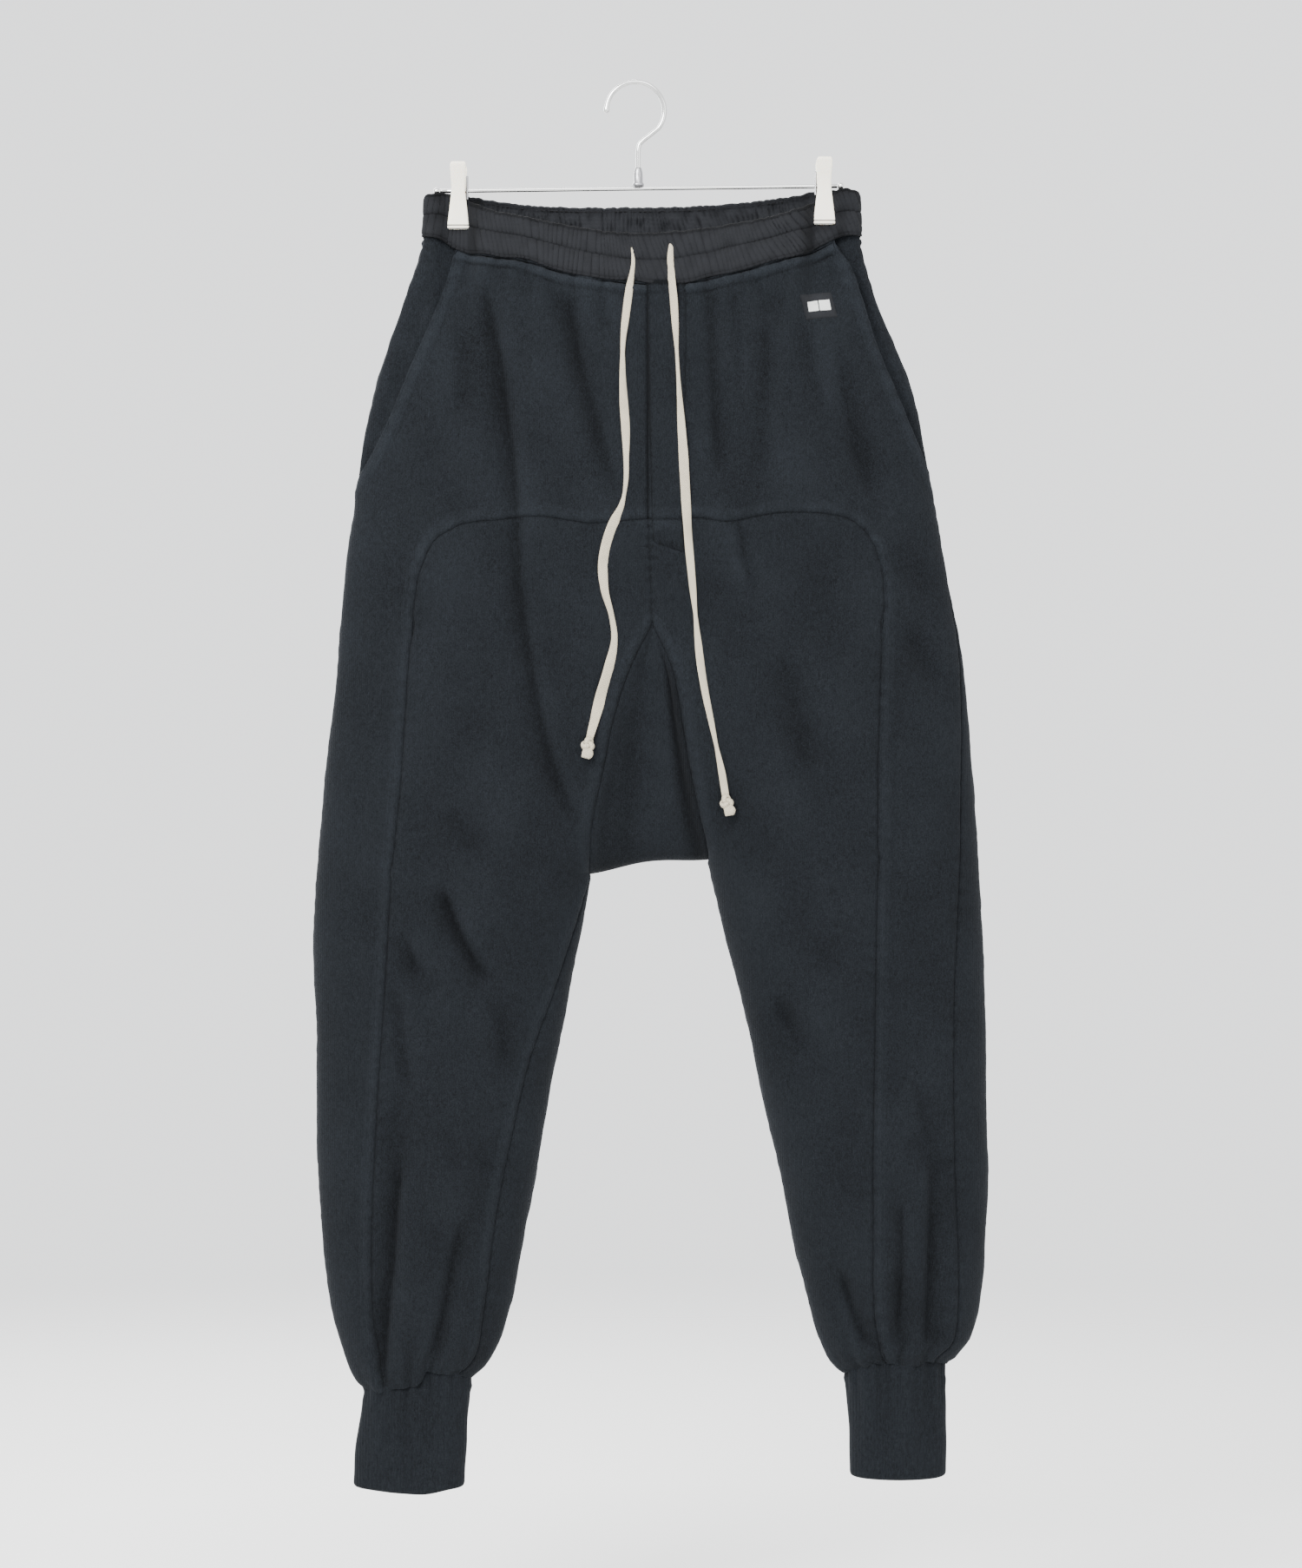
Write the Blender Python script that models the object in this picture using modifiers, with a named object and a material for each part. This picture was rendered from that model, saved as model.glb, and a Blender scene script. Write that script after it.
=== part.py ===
"""Drawstring joggers with a dropped crotch, hanging flat from a clip hanger.

The cloth is one flattened tube for each half of the garment. A point on it is named by the half,
by its turn round the tube and by its height, so every cut piece is a patch of turn and height.
The turn is counted in quarters: 0 at the outer side, 1 at the middle of the front, 2 at the inside
of a leg, and -1 at the middle of the back.

Lengths in the tables are millimetres and the model is in metres. +X is the picture's right,
-Y is the front and +Z is up. The origin is the inside top of the hanger's hook.
"""
from collections import namedtuple
import math

import bmesh
import bpy
import numpy as np
from mathutils import Matrix, Vector
from mathutils.bvhtree import BVHTree

MM = 0.001
COLLECTION = "drawstring_joggers"

# Driving dimensions, in millimetres
CLOTH = 1.6                 # thickness of the jersey
BAND = 2.4                  # thickness of the elasticated waistband
RIB = 2.4                   # thickness of the doubled rib cuff
PATCH = 0.8                 # thickness of the sewn patch
SEAM_GAP = 0.3              # space between two pieces at a seam
SQUARENESS = 2.4            # exponent of the flattened tube's section; 2 is an ellipse
FLATNESS = 0.19             # depth to half width of the section that spaces the turns
MIDDLE = 9.4                # the front's middle seam across the picture
APEX_HEIGHT = -448.0        # top of the gusset
CROTCH_HEIGHT = {"left": -653.5, "right": -641.0}
LEG_END = {"left": -1079.0, "right": -1073.0}
CUFF_END = {"left": -1161.5, "right": -1152.5}
ROLL = 1.4                  # how late the inner leg edges roll back towards the crotch
FACING = 1.1                # the pocket facing's wall
FACING_INSET = 6.5          # how far the pocket facing dives in under the pocket's edge
FACING_TOP = {"left": 3.0, "right": 5.9}   # and at the waist, where a clip may hold it flat
FACING_LOWERED = 2.5        # its top edge's distance below the band
FACING_CLEAR = 1.2          # its outer edge's distance from the back panel
FACING_SHORT = 11.0         # and how far it ends above the notch
# Columns of the facing: share of the part that shows, share of the part under the front
FACING_COLUMNS = ((0.0, 0.0), (0.4, 0.0), (0.8, 0.0), (1.0, 0.3), (1.0, 1.0))
FACING_HIDDEN = 12.0        # width of the facing under the pocket's edge
CORD_RADIUS = 3.0
KNOT_LIFT = 2.6             # the cord's end is held off the cloth by its knot
CLIP_X = {"left": -147.6, "right": 155.5}
CLIP_REACH = 15.0           # half width of the stretch that a clip presses flat
CLIP_LAYER = 3.0            # middle of each layer from the clip's plane
CLIP_LOWEST = -124.0        # the pinch is whole above this height
CLIP_RELAXED = -215.0       # and gone below this one
HOOK_RADIUS = 24.0
HOOK_CENTRE = (-0.9, -22.0)
HOOK_WIRE = 2.0
BAR_WIRE = 1.7
BAR_ENDS = ((-163.0, -88.5), (166.5, -84.3))

NAVY = (0.021, 0.026, 0.033)
BAND_BLACK = (0.030, 0.027, 0.027)
ECRU = (0.56, 0.49, 0.39)
STEEL = (0.62, 0.62, 0.60)
CREAM = (0.86, 0.82, 0.70)

Section = namedtuple("Section", "height left_outer left_inner right_inner right_outer front back")
SECTIONS = tuple(Section(*row) for row in (
    (-84, -173.0, 9.4, 9.4, 181.8, 17, 15),
    (-106, -173.5, 9.4, 9.4, 183.0, 19, 16),
    (-127, -175.0, 9.4, 9.4, 183.8, 22, 18),
    (-149, -180.0, 9.4, 9.4, 187.2, 25, 21),
    (-171, -187.9, 9.4, 9.4, 193.4, 28, 24),
    (-192, -195.1, 9.4, 9.4, 201.6, 31, 27),
    (-214, -203.0, 9.4, 9.4, 211.0, 34, 30),
    (-257, -215.3, 9.4, 9.4, 226.8, 38, 34),
    (-300, -225.4, 9.4, 9.4, 236.4, 41, 38),
    (-354, -231.6, 9.4, 9.4, 245.5, 43, 41),
    (-397, -238.3, 11.0, 11.0, 253.4, 44, 42),
    (-448, -242.5, 13.0, 13.0, 262.6, 44, 43),
    (-484, -245.5, -4.6, 29.0, 268.6, 44, 43),
    (-527, -250.6, -18.9, 37.5, 272.9, 44, 43),
    (-570, -255.6, -27.5, 45.0, 276.2, 44, 43),
    (-613, -259.2, -37.0, 54.5, 279.6, 43, 42),
    (-641, -262.0, -39.6, 61.2, 281.3, 42, 41),
    (-657, -263.5, -41.0, 64.8, 282.2, 42, 41),
    (-700, -265.0, -48.2, 74.2, 284.4, 41, 40),
    (-743, -265.0, -56.2, 85.7, 285.8, 40, 39),
    (-786, -263.4, -64.8, 95.8, 287.3, 39, 38),
    (-829, -262.8, -73.0, 105.0, 288.0, 38, 37),
    (-873, -262.8, -80.6, 115.2, 288.7, 36, 36),
    (-916, -261.4, -87.8, 124.6, 288.7, 35, 35),
    (-959, -257.8, -95.8, 132.5, 287.3, 33, 34),
    (-1002, -252.7, -104.4, 143.3, 283.0, 31, 32),
    (-1024, -248.4, -110.2, 149.0, 279.2, 29, 30),
    (-1045, -242.6, -116.6, 156.2, 272.4, 26, 27),
    (-1060, -237.2, -123.6, 163.0, 262.4, 22, 23),
    (-1068, -232.6, -130.0, 170.0, 255.6, 18, 19),
    (-1074, -228.4, -136.6, 176.0, 253.4, 15, 16),
    (-1080, -222.8, -140.4, 177.0, 252.8, 13, 14),
    (-1092, -223.6, -142.0, 178.0, 253.2, 13, 13),
    (-1132, -229.7, -144.7, 180.0, 253.4, 14, 14),
    (-1166, -231.6, -146.0, 180.6, 252.8, 13, 13),
))

# The waistband's edges across the garment; the back stands higher than the drooping front
BandEdge = namedtuple("BandEdge", "x front_top back_top front_seam back_seam")
BAND_EDGES = tuple(BandEdge(*row) for row in (
    (-178, -95.0, -95.0, -126.5, -126.5),
    (-166, -92.6, -92.6, -127.5, -127.0),
    (-149, -95.0, -93.6, -136.0, -130.0),
    (-122, -107.0, -96.5, -143.0, -136.0),
    (-95, -113.0, -100.0, -146.5, -140.0),
    (-55, -121.5, -102.0, -158.5, -143.5),
    (-10, -127.5, -102.0, -165.5, -144.0),
    (35, -126.0, -101.5, -166.5, -143.5),
    (84, -119.0, -98.5, -156.5, -140.0),
    (120, -111.0, -94.5, -146.0, -136.0),
    (148, -100.0, -90.5, -137.0, -130.0),
    (168, -89.6, -89.2, -127.5, -126.0),
    (188, -91.0, -91.0, -125.5, -125.5),
))

# Seams across the front, as picture points in millimetres; the corner splits the leg seam
Point = namedtuple("Point", "x height")
YOKE_SEAM = {
    "left": tuple(Point(*row) for row in (
        (9.4, -363), (-10, -364), (-30, -366), (-50, -365), (-65, -362), (-96, -361),
        (-111, -363), (-134, -365), (-144, -367), (-154, -372), (-166, -380), (-172, -390))),
    "right": tuple(Point(*row) for row in (
        (9.4, -363), (27, -363), (56, -362), (70, -365), (82, -364), (106, -359),
        (132, -357), (153, -358), (171, -361), (182, -367), (190, -375), (196, -385))),
}
LEG_SEAM = {
    "left": tuple(Point(*row) for row in (
        (-172, -390), (-176, -399), (-182, -426), (-186, -469), (-193, -577), (-200, -649),
        (-207, -757), (-214, -865), (-218, -973), (-215, -1038), (-205, -1079))),
    "right": tuple(Point(*row) for row in (
        (196, -385), (202, -405), (204, -430), (202, -459), (201, -484), (199, -541),
        (198, -649), (196, -793), (195, -937), (198, -1031), (207, -1073))),
}
POCKET_EDGE = {
    "left": tuple(Point(*row) for row in (
        (-149, -136), (-162, -178), (-175, -212), (-191, -248), (-205, -283), (-218, -310),
        (-226, -324))),
    "right": tuple(Point(*row) for row in (
        (164, -131), (176, -150), (185, -176), (194, -206), (206, -238), (220, -272),
        (233, -304), (240, -322))),
}
NOTCH_HEIGHT = {"left": -336.0, "right": -336.0}
# Where a seam leaves the silhouette: the right leg's side seam and the left leg's inseam show
SIDE_SEAM_SHIFT = {
    "left": ((-336, 0.0), (-1080, 0.0)),
    "right": ((-336, 0.0), (-470, 2.0), (-600, 12.0), (-793, 27.0), (-950, 24.0), (-1074, 9.0)),
}
INSEAM_SHIFT = {
    "left": ((-653.5, 0.0), (-690, 4.0), (-740, 10.0), (-800, 19.0), (-866, 23.0), (-950, 24.0),
             (-1040, 15.0), (-1080, 8.0)),
    "right": ((-641, 0.0), (-1074, 0.0)),
}

# Creases: troughs have a positive depth and ridges a negative one; each bends at its middle
Crease = namedtuple("Crease", "face x0 h0 x1 h1 x2 h2 width depth")
CREASES = tuple(Crease(*row) for row in (
    ("front", -124, -159, -111, -253, -99, -360, 14, 6.0),
    ("front", -99, -360, -82, -519, -54, -605, 17, 5.0),
    ("front", -60, -177, -47, -217, -18, -317, 13, 4.5),
    ("front", 52, -174, 58, -232, 73, -333, 12, 4.0),
    ("front", 100, -157, 104, -178, 107, -200, 11, 3.5),
    ("front", 154, -217, 179, -302, 197, -346, 16, 4.0),
    ("front", 207, -379, 229, -408, 243, -426, 12, 4.5),
    ("front", 222, -449, 240, -484, 253, -500, 12, 4.5),
    ("front", 125, -476, 136, -534, 154, -576, 17, 4.0),
    ("front", -156, -665, -146, -700, -119, -746, 14, 7.0),
    ("front", -188, -716, -176, -743, -160, -752, 12, 4.0),
    ("front", -189, -799, -201, -952, -205, -1070, 12, 5.0),
    ("front", -150, -933, -160, -1002, -176, -1068, 12, 5.0),
    ("front", -123, -870, -129, -930, -136, -975, 12, 3.0),
    ("front", 111, -756, 131, -780, 145, -806, 13, 5.0),
    ("front", 226, -868, 240, -884, 258, -906, 11, 3.5),
    ("front", 217, -975, 218, -1020, 214, -1058, 11, 4.5),
    ("front", 240, -923, 243, -985, 237, -1052, 11, 4.5),
    ("front", 167, -980, 178, -1015, 196, -1058, 12, 5.0),
    ("back", -120, -150, -112, -230, -98, -305, 15, 4.5),
    ("back", -62, -150, -66, -215, -72, -270, 13, 4.0),
    ("back", 28, -150, 32, -240, 40, -330, 14, 4.5),
    ("back", 88, -150, 91, -205, 92, -255, 12, 4.0),
    ("back", 150, -145, 160, -230, 178, -300, 15, 4.5),
    ("back", -178, -420, -125, -500, -62, -560, 20, 5.5),
    ("back", 196, -410, 145, -500, 88, -575, 20, 5.5),
    ("back", -230, -712, -175, -742, -105, -732, 15, 5.5),
    ("back", 118, -765, 180, -790, 250, -778, 15, 5.5),
    ("back", -208, -955, -204, -1020, -196, -1066, 12, 5.0),
    ("back", -158, -880, -165, -985, -171, -1064, 13, 4.5),
    ("back", 204, -950, 205, -1010, 208, -1056, 12, 5.0),
    ("back", 246, -930, 243, -995, 234, -1054, 12, 4.5),
    ("back", 172, -990, 180, -1020, 188, -1056, 12, 4.0),
))

# The free ends of the drawstring, down the front from the buttonholes
CORD_ROUTE = {
    "left": tuple(Point(*row) for row in (
        (-4.2, -135), (-2.6, -149), (-5.6, -171), (-8.4, -192), (-10.8, -214), (-11.3, -243),
        (-10.2, -268), (-8.8, -289), (-8.4, -311), (-8.6, -332), (-12.0, -351), (-18.2, -365),
        (-24.2, -382), (-27.4, -402), (-25.8, -422), (-20.6, -441), (-18.0, -460), (-21.8, -482),
        (-28.2, -505), (-34.2, -527), (-38.4, -543))),
    "right": tuple(Point(*row) for row in (
        (28.2, -134), (28.0, -147), (28.6, -160), (30.6, -181), (32.0, -203), (33.2, -225),
        (34.4, -246), (35.8, -268), (37.2, -290), (38.6, -311), (39.8, -333), (41.0, -354),
        (42.4, -376), (44.2, -397), (46.2, -419), (48.4, -441), (50.4, -462), (53.0, -484),
        (56.6, -506), (61.0, -527), (65.6, -549), (70.0, -570), (73.2, -590))),
}

# Number of cells in each run of a seam
BAND_WAVES = 50
WAIST_CELLS = 7
POCKET_CELLS = 5
SIDE_CELLS = 6
YOKE_SHARE = 0.66           # share of the yoke seam that faces the waist; the rest faces the pocket
YOKE_STEPS = 60             # fine steps that the yoke seam's places are picked from
CENTRE_CELLS = 3
GUSSET_CELLS = 6
INSEAM_CELLS = 12
BACK_CELLS = 11
UPPER_BACK_CELLS = 8
GUSSET_COLUMNS = 5
GUSSET_RECESS = 9.0         # how far the gusset lies back between the legs
GUSSET_RISE = 4.5           # how far its lower edge arches up in the middle
CUFF_ROWS = 4
CUFF_DIP = {"left": 3.0, "right": 1.0}   # sag of the cuff's lower edge in its middle
BAND_ROWS = (1.0, 0.72, 0.42, 0.0)       # heights of the band's rows, from its seam upwards
BAND_SWING = (0.7, 1.0, 0.55, 0.0)       # how much of the gathers each row has
BAND_WAVE = 0.85            # half height of a gather
CORD_STEP = 15.0            # spacing of the cord's points
KNOT_LOBES = (4.6, 5.2)     # radii of a knot's two lobes
KNOT_SPREAD = 12.6          # the lower lobe's distance from the cord's end


def smooth(knots, values, at):
    """Cubic through the knots with finite-difference slopes; the knots may run either way."""
    knots = np.asarray(knots, float)
    values = np.asarray(values, float)
    if knots[0] > knots[-1]:
        knots = knots[::-1]
        values = values[::-1]
    slopes = np.gradient(values, knots)
    at = np.clip(np.asarray(at, float), knots[0], knots[-1])
    cell = np.clip(np.searchsorted(knots, at) - 1, 0, len(knots) - 2)
    step = knots[cell + 1] - knots[cell]
    t = (at - knots[cell]) / step
    return ((1 + 2 * t) * (1 - t) ** 2 * values[cell] + t * (1 - t) ** 2 * step * slopes[cell]
            + t * t * (3 - 2 * t) * values[cell + 1] + t * t * (t - 1) * step * slopes[cell + 1])


def section(column, height):
    """One column of the section table at any height."""
    return smooth([s.height for s in SECTIONS], [getattr(s, column) for s in SECTIONS], height)


def band_edge(column, x):
    """One edge of the waistband at any place across the garment."""
    return smooth([e.x for e in BAND_EDGES], [getattr(e, column) for e in BAND_EDGES], x)


def ease(low, high, value):
    """0 below low, 1 above high, and a smooth step between."""
    t = np.clip((np.asarray(value, float) - low) / (high - low), 0.0, 1.0)
    return t * t * (3 - 2 * t)


def signed_power(value, power):
    """A power that keeps the sign."""
    return np.sign(value) * np.abs(value) ** power


# Equal lengths of cloth round a quarter of the flattened section
QUARTER = np.linspace(0.0, math.pi / 2, 400)
QUARTER_LENGTH = np.concatenate(([0.0], np.cumsum(np.hypot(
    np.diff(signed_power(np.cos(QUARTER), 2 / SQUARENESS)),
    FLATNESS * np.diff(signed_power(np.sin(QUARTER), 2 / SQUARENESS))))))
QUARTER_LENGTH /= QUARTER_LENGTH[-1]


def angle_of(turn):
    """Section angle of a turn, spaced so that equal turns are about equal lengths of cloth."""
    turn = np.asarray(turn, float)
    quarter = np.floor(turn)
    part = turn - quarter
    even = np.mod(quarter, 2) == 0
    rise = np.interp(part, QUARTER_LENGTH, QUARTER)
    fall = math.pi / 2 - np.interp(1 - part, QUARTER_LENGTH, QUARTER)
    return quarter * math.pi / 2 + np.where(even, rise, fall)


def turn_of(angle):
    """Turn of a section angle between 0 and half a circle."""
    angle = np.asarray(angle, float)
    rise = np.interp(angle, QUARTER, QUARTER_LENGTH)
    fall = 2 - np.interp(math.pi - angle, QUARTER, QUARTER_LENGTH)
    return np.where(angle <= math.pi / 2, rise, fall)


def inner_angle(half, height):
    """Section angle of a half's inner edge: the middle above the gusset, round behind below it."""
    drop = (APEX_HEIGHT - np.asarray(height, float)) / (APEX_HEIGHT - CROTCH_HEIGHT[half])
    return np.arccos(-np.clip(drop, 0.0, 1.0) ** ROLL)


def inner_edge(half, height):
    """Inner edge of a half: the middle of the front above the gusset, shared by both halves."""
    above = [s for s in SECTIONS if s.height >= APEX_HEIGHT]
    below = [s for s in SECTIONS if s.height <= APEX_HEIGHT]
    column = half + "_inner"
    middle = np.interp(-np.asarray(height, float), [-s.height for s in above],
                       [getattr(s, column) for s in above])
    leg = smooth([s.height for s in below], [getattr(s, column) for s in below], height)
    return np.where(np.asarray(height) >= APEX_HEIGHT, middle, leg)


def half_section(half, height):
    """Outer edge, direction inwards and half width of a half's section."""
    outer = section(half + "_outer", height)
    inner = inner_edge(half, height)
    reach = 1 - signed_power(np.cos(inner_angle(half, height)), 2 / SQUARENESS)
    inwards = 1 if half == "left" else -1
    return outer, inwards, np.abs(inner - outer) / reach


def crease_depth(face, x, height):
    """How far the creases of one face push the cloth inwards."""
    total = np.zeros(np.broadcast(x, height).shape)
    for crease in CREASES:
        if crease.face != face:
            continue
        best = np.full(total.shape, np.inf)
        along = np.zeros(total.shape)
        corners = ((crease.x0, crease.h0), (crease.x1, crease.h1), (crease.x2, crease.h2))
        for index in range(2):
            ax, ah = corners[index]
            bx, bh = corners[index + 1]
            square = (bx - ax) ** 2 + (bh - ah) ** 2
            t = np.clip(((x - ax) * (bx - ax) + (height - ah) * (bh - ah)) / square, 0, 1)
            away = np.hypot(x - ax - t * (bx - ax), height - ah - t * (bh - ah))
            nearer = away < best
            best = np.where(nearer, away, best)
            along = np.where(nearer, (index + t) / 2, along)
        taper = ease(-0.05, 0.25, along) * (1 - ease(0.75, 1.1, along))
        total = total + crease.depth * taper * np.exp(-(best / crease.width) ** 2)
    return total


def clip_press(half, x):
    """1 under a clip's jaws, dying out beside them."""
    return np.exp(-np.abs((x - CLIP_X[half]) / CLIP_REACH) ** 6)


def cloth(half, turn, height):
    """A point of the cloth's middle surface, in millimetres."""
    turn, height = np.broadcast_arrays(np.asarray(turn, float), np.asarray(height, float))
    angle = angle_of(turn)
    across = signed_power(np.cos(angle), 2 / SQUARENESS)
    through = signed_power(np.sin(angle), 2 / SQUARENESS)
    outer, inwards, half_width = half_section(half, height)
    x = outer + inwards * half_width * (1 - across)
    is_front = through >= 0
    depth = np.where(is_front, section("front", height), section("back", height))
    face = np.where(is_front, -1.0, 1.0)
    y = -depth * through
    pressed = clip_press(half, x) * ease(CLIP_RELAXED, CLIP_LOWEST, height)
    y = y * (1 - pressed) + face * CLIP_LAYER * pressed * np.minimum(1, np.abs(through) * 4)
    crease = np.where(is_front, crease_depth("front", x, height), crease_depth("back", x, height))
    y = y - face * crease * ease(0.2, 0.9, np.abs(through))
    return np.stack((x, y, height), axis=-1)


def front_turn(half, x, height):
    """Turn of the front point that lies at x."""
    outer, inwards, half_width = half_section(half, height)
    across = np.clip(1 - inwards * (np.asarray(x, float) - outer) / half_width, -1, 1)
    return turn_of(np.arccos(signed_power(across, SQUARENESS / 2)))


def even(points, count):
    """A smooth curve through the points, cut into equal runs: count + 1 places."""
    points = np.asarray(points, float)
    run = np.concatenate(([0.0], np.cumsum(np.hypot(*np.diff(points, axis=0).T))))
    fine = np.linspace(0, run[-1], 20 * len(points))
    curve = np.stack([smooth(run, points[:, k], fine) for k in range(2)], axis=1)
    length = np.concatenate(([0.0], np.cumsum(np.hypot(*np.diff(curve, axis=0).T))))
    places = np.linspace(0, length[-1], count + 1)
    return np.stack([np.interp(places, length, curve[:, k]) for k in range(2)], axis=1)


def turns(half, points):
    """Picture points of the front as pairs of turn and height."""
    points = np.asarray(points, float)
    return np.stack((front_turn(half, points[:, 0], points[:, 1]), points[:, 1]), axis=1)


def join(*runs):
    """Runs end to end, each starting where the last one stopped."""
    return np.concatenate([runs[0]] + [run[1:] for run in runs[1:]])


def side_turn(half, height):
    """Turn of the side seam, which the right leg shows a little way round the front."""
    rows = SIDE_SEAM_SHIFT[half]
    shift = smooth([r[0] for r in rows], [r[1] for r in rows], height)
    outer, inwards, _ = half_section(half, height)
    return np.where(shift > 0.01, front_turn(half, outer + inwards * shift, height), 0.0)


def inseam_turn(half, height):
    """Turn of the inseam below the crotch, which the left leg shows on its front."""
    rows = INSEAM_SHIFT[half]
    shift = smooth([r[0] for r in rows], [r[1] for r in rows], height)
    inwards = 1 if half == "left" else -1
    x = inner_edge(half, height) - inwards * shift
    return np.where(shift > 0.01, front_turn(half, x, height), 2.0)


def seams(half):
    """Every seam of one half, as places of turn and height shared by the pieces along it."""
    crotch = CROTCH_HEIGHT[half]
    end = LEG_END[half]
    fork = np.linspace(YOKE_SEAM[half][0].height, APEX_HEIGHT, CENTRE_CELLS + 1)
    drop = np.linspace(0, 1, GUSSET_CELLS + 1)
    gusset = APEX_HEIGHT + (crotch - APEX_HEIGHT) * np.sin(drop * math.pi / 2)
    inseam = np.linspace(crotch, end, INSEAM_CELLS + 1)
    found = {}
    found["fork"] = np.stack((np.ones(len(fork)), fork), axis=1)
    found["gusset"] = np.stack((turn_of(inner_angle(half, gusset)), gusset), axis=1)
    found["inseam"] = np.stack((inseam_turn(half, inseam), inseam), axis=1)
    found["inside"] = join(found["fork"], found["gusset"], found["inseam"])
    yoke = even(YOKE_SEAM[half], YOKE_STEPS)
    waist_run = np.linspace(0, YOKE_SHARE, WAIST_CELLS + 1)
    corner_run = np.linspace(YOKE_SHARE, 1, POCKET_CELLS + 1)
    places = np.round(YOKE_STEPS * np.concatenate((waist_run, corner_run[1:]))).astype(int)
    found["yoke"] = turns(half, yoke[places])
    found["yoke"][0, 0] = 1.0
    rows = len(found["inside"]) - 1
    found["leg"] = turns(half, even(LEG_SEAM[half], rows))
    waist_x = np.linspace(MIDDLE, POCKET_EDGE[half][0].x, WAIST_CELLS + 1)
    waist = turns(half, np.stack((waist_x, band_edge("front_seam", waist_x)), axis=1))
    waist[0, 0] = 1.0
    found["waist"] = waist
    pocket = turns(half, even(POCKET_EDGE[half], POCKET_CELLS - 1))
    pocket[0] = waist[-1]
    notch = np.array([[0.0, NOTCH_HEIGHT[half]]])
    found["pocket"] = np.concatenate((pocket, notch))
    side = np.linspace(NOTCH_HEIGHT[half], end, rows + 1)
    found["side"] = np.stack((side_turn(half, side), side), axis=1)
    upper_outer = section(half + "_outer", -127.0)
    upper = np.linspace(band_edge("back_seam", upper_outer), NOTCH_HEIGHT[half],
                        UPPER_BACK_CELLS + 1)
    found["upper_side"] = np.stack((np.zeros(len(upper)), upper), axis=1)
    return found


def ruled(first, second, count):
    """Places between two runs, on straight lines of turn and height."""
    blend = np.linspace(0, 1, count + 1)[None, :, None]
    return first[:, None, :] * (1 - blend) + second[:, None, :] * blend


def filled(top, bottom, left, right):
    """Places inside four runs that meet at their ends."""
    rows = np.linspace(0, 1, len(left))[:, None, None]
    columns = np.linspace(0, 1, len(top))[None, :, None]
    across = left[:, None, :] * (1 - columns) + right[:, None, :] * columns
    down = top[None, :, :] * (1 - rows) + bottom[None, :, :] * rows
    corners = ((1 - rows) * ((1 - columns) * top[0] + columns * top[-1])
               + rows * ((1 - columns) * bottom[0] + columns * bottom[-1]))
    return across + down - corners


def level_run(first, last, count):
    """Evenly spaced places from one to another."""
    return np.linspace(first, last, count + 1)


def back_run(half, found):
    """Inner edge of a back piece: the middle, the gusset and the inseam, seen from behind."""
    middle_top = band_edge("back_seam", MIDDLE)
    count = UPPER_BACK_CELLS + len(found["side"]) - 1 - GUSSET_CELLS - INSEAM_CELLS
    middle = np.linspace(middle_top, APEX_HEIGHT, count + 1)
    middle = np.stack((-np.ones(len(middle)), middle), axis=1)
    gusset = found["gusset"] * (-1, 1)
    inseam = found["inseam"] - (4, 0)
    return join(middle, gusset, inseam)


def cloth_grids():
    """Every sewn piece of the cloth as a grid of points, all faces outwards."""
    grids = {}
    edges = {}
    for half in ("left", "right"):
        found = seams(half)
        edges[half] = found
        inner = join(found["yoke"], found["leg"])
        outer = join(join(found["waist"], found["pocket"]), found["side"])
        side = ruled(inner, outer, SIDE_CELLS)
        grids["front_side_" + half] = cloth(half, side[..., 0], side[..., 1])
        top = found["yoke"][::-1]
        bottom = level_run(found["leg"][-1], found["inside"][-1], len(top) - 1)
        leg = filled(top, bottom, found["leg"], found["inside"])
        grids["front_leg_" + half] = cloth(half, leg[..., 0], leg[..., 1])
        outer = join(found["upper_side"], found["side"])
        inner = back_run(half, found)
        columns = np.linspace(0, 1, BACK_CELLS + 1)
        top = outer[0] + (inner[0] - outer[0]) * columns[:, None]
        for index in range(1, BACK_CELLS):
            x = cloth(half, top[index, 0], top[index, 1])[0]
            top[index, 1] = band_edge("back_seam", x)
        found["back_waist"] = top
        bottom = level_run(outer[-1], inner[-1], BACK_CELLS)
        back = filled(top, bottom, outer, inner)
        grids["back_" + half] = cloth(half, back[..., 0], back[..., 1])
        cuff = []
        ring = join(bottom_ring(grids, half), bottom_ring(grids, half)[:1])
        for row in np.linspace(0, 1, CUFF_ROWS + 1):
            height = LEG_END[half] + (CUFF_END[half] - LEG_END[half]) * row
            cuff.append(cuff_ring(half, ring, height, row))
        grids["cuff_" + half] = np.array(cuff)
    for face, name in ((1, "front"), (-1, "back")):
        left = edges["left"]["gusset"] * (face, 1)
        right = edges["right"]["gusset"] * (face, 1)
        left = cloth("left", left[:, 0], left[:, 1])
        right = cloth("right", right[:, 0], right[:, 1])
        grids["gusset_" + name] = gusset_grid(left, right, face)
    return grids, edges


def bottom_ring(grids, half):
    """The leg's lower edge all round, from the leg seam inwards and back round behind."""
    front = grids["front_leg_" + half][-1]
    back = grids["back_" + half][-1][::-1]
    side = grids["front_side_" + half][-1][::-1]
    return np.concatenate((front[:-1], back[:-1], side[:-1]))


def cuff_ring(half, ring, height, row):
    """The leg's lower edge carried down to one height of the cuff."""
    top_outer = section(half + "_outer", LEG_END[half])
    top_inner = section(half + "_inner", LEG_END[half])
    outer = section(half + "_outer", height)
    inner = section(half + "_inner", height)
    share = (ring[:, 0] - top_outer) / (top_inner - top_outer)
    x = outer + share * (inner - outer)
    top_depth = section("front", LEG_END[half])
    y = ring[:, 1] * (1 + row * (section("front", height) / top_depth - 1))
    dip = CUFF_DIP[half] * row * np.sin(math.pi * share) ** 2
    return np.stack((x, y, height - dip), axis=1)


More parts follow.
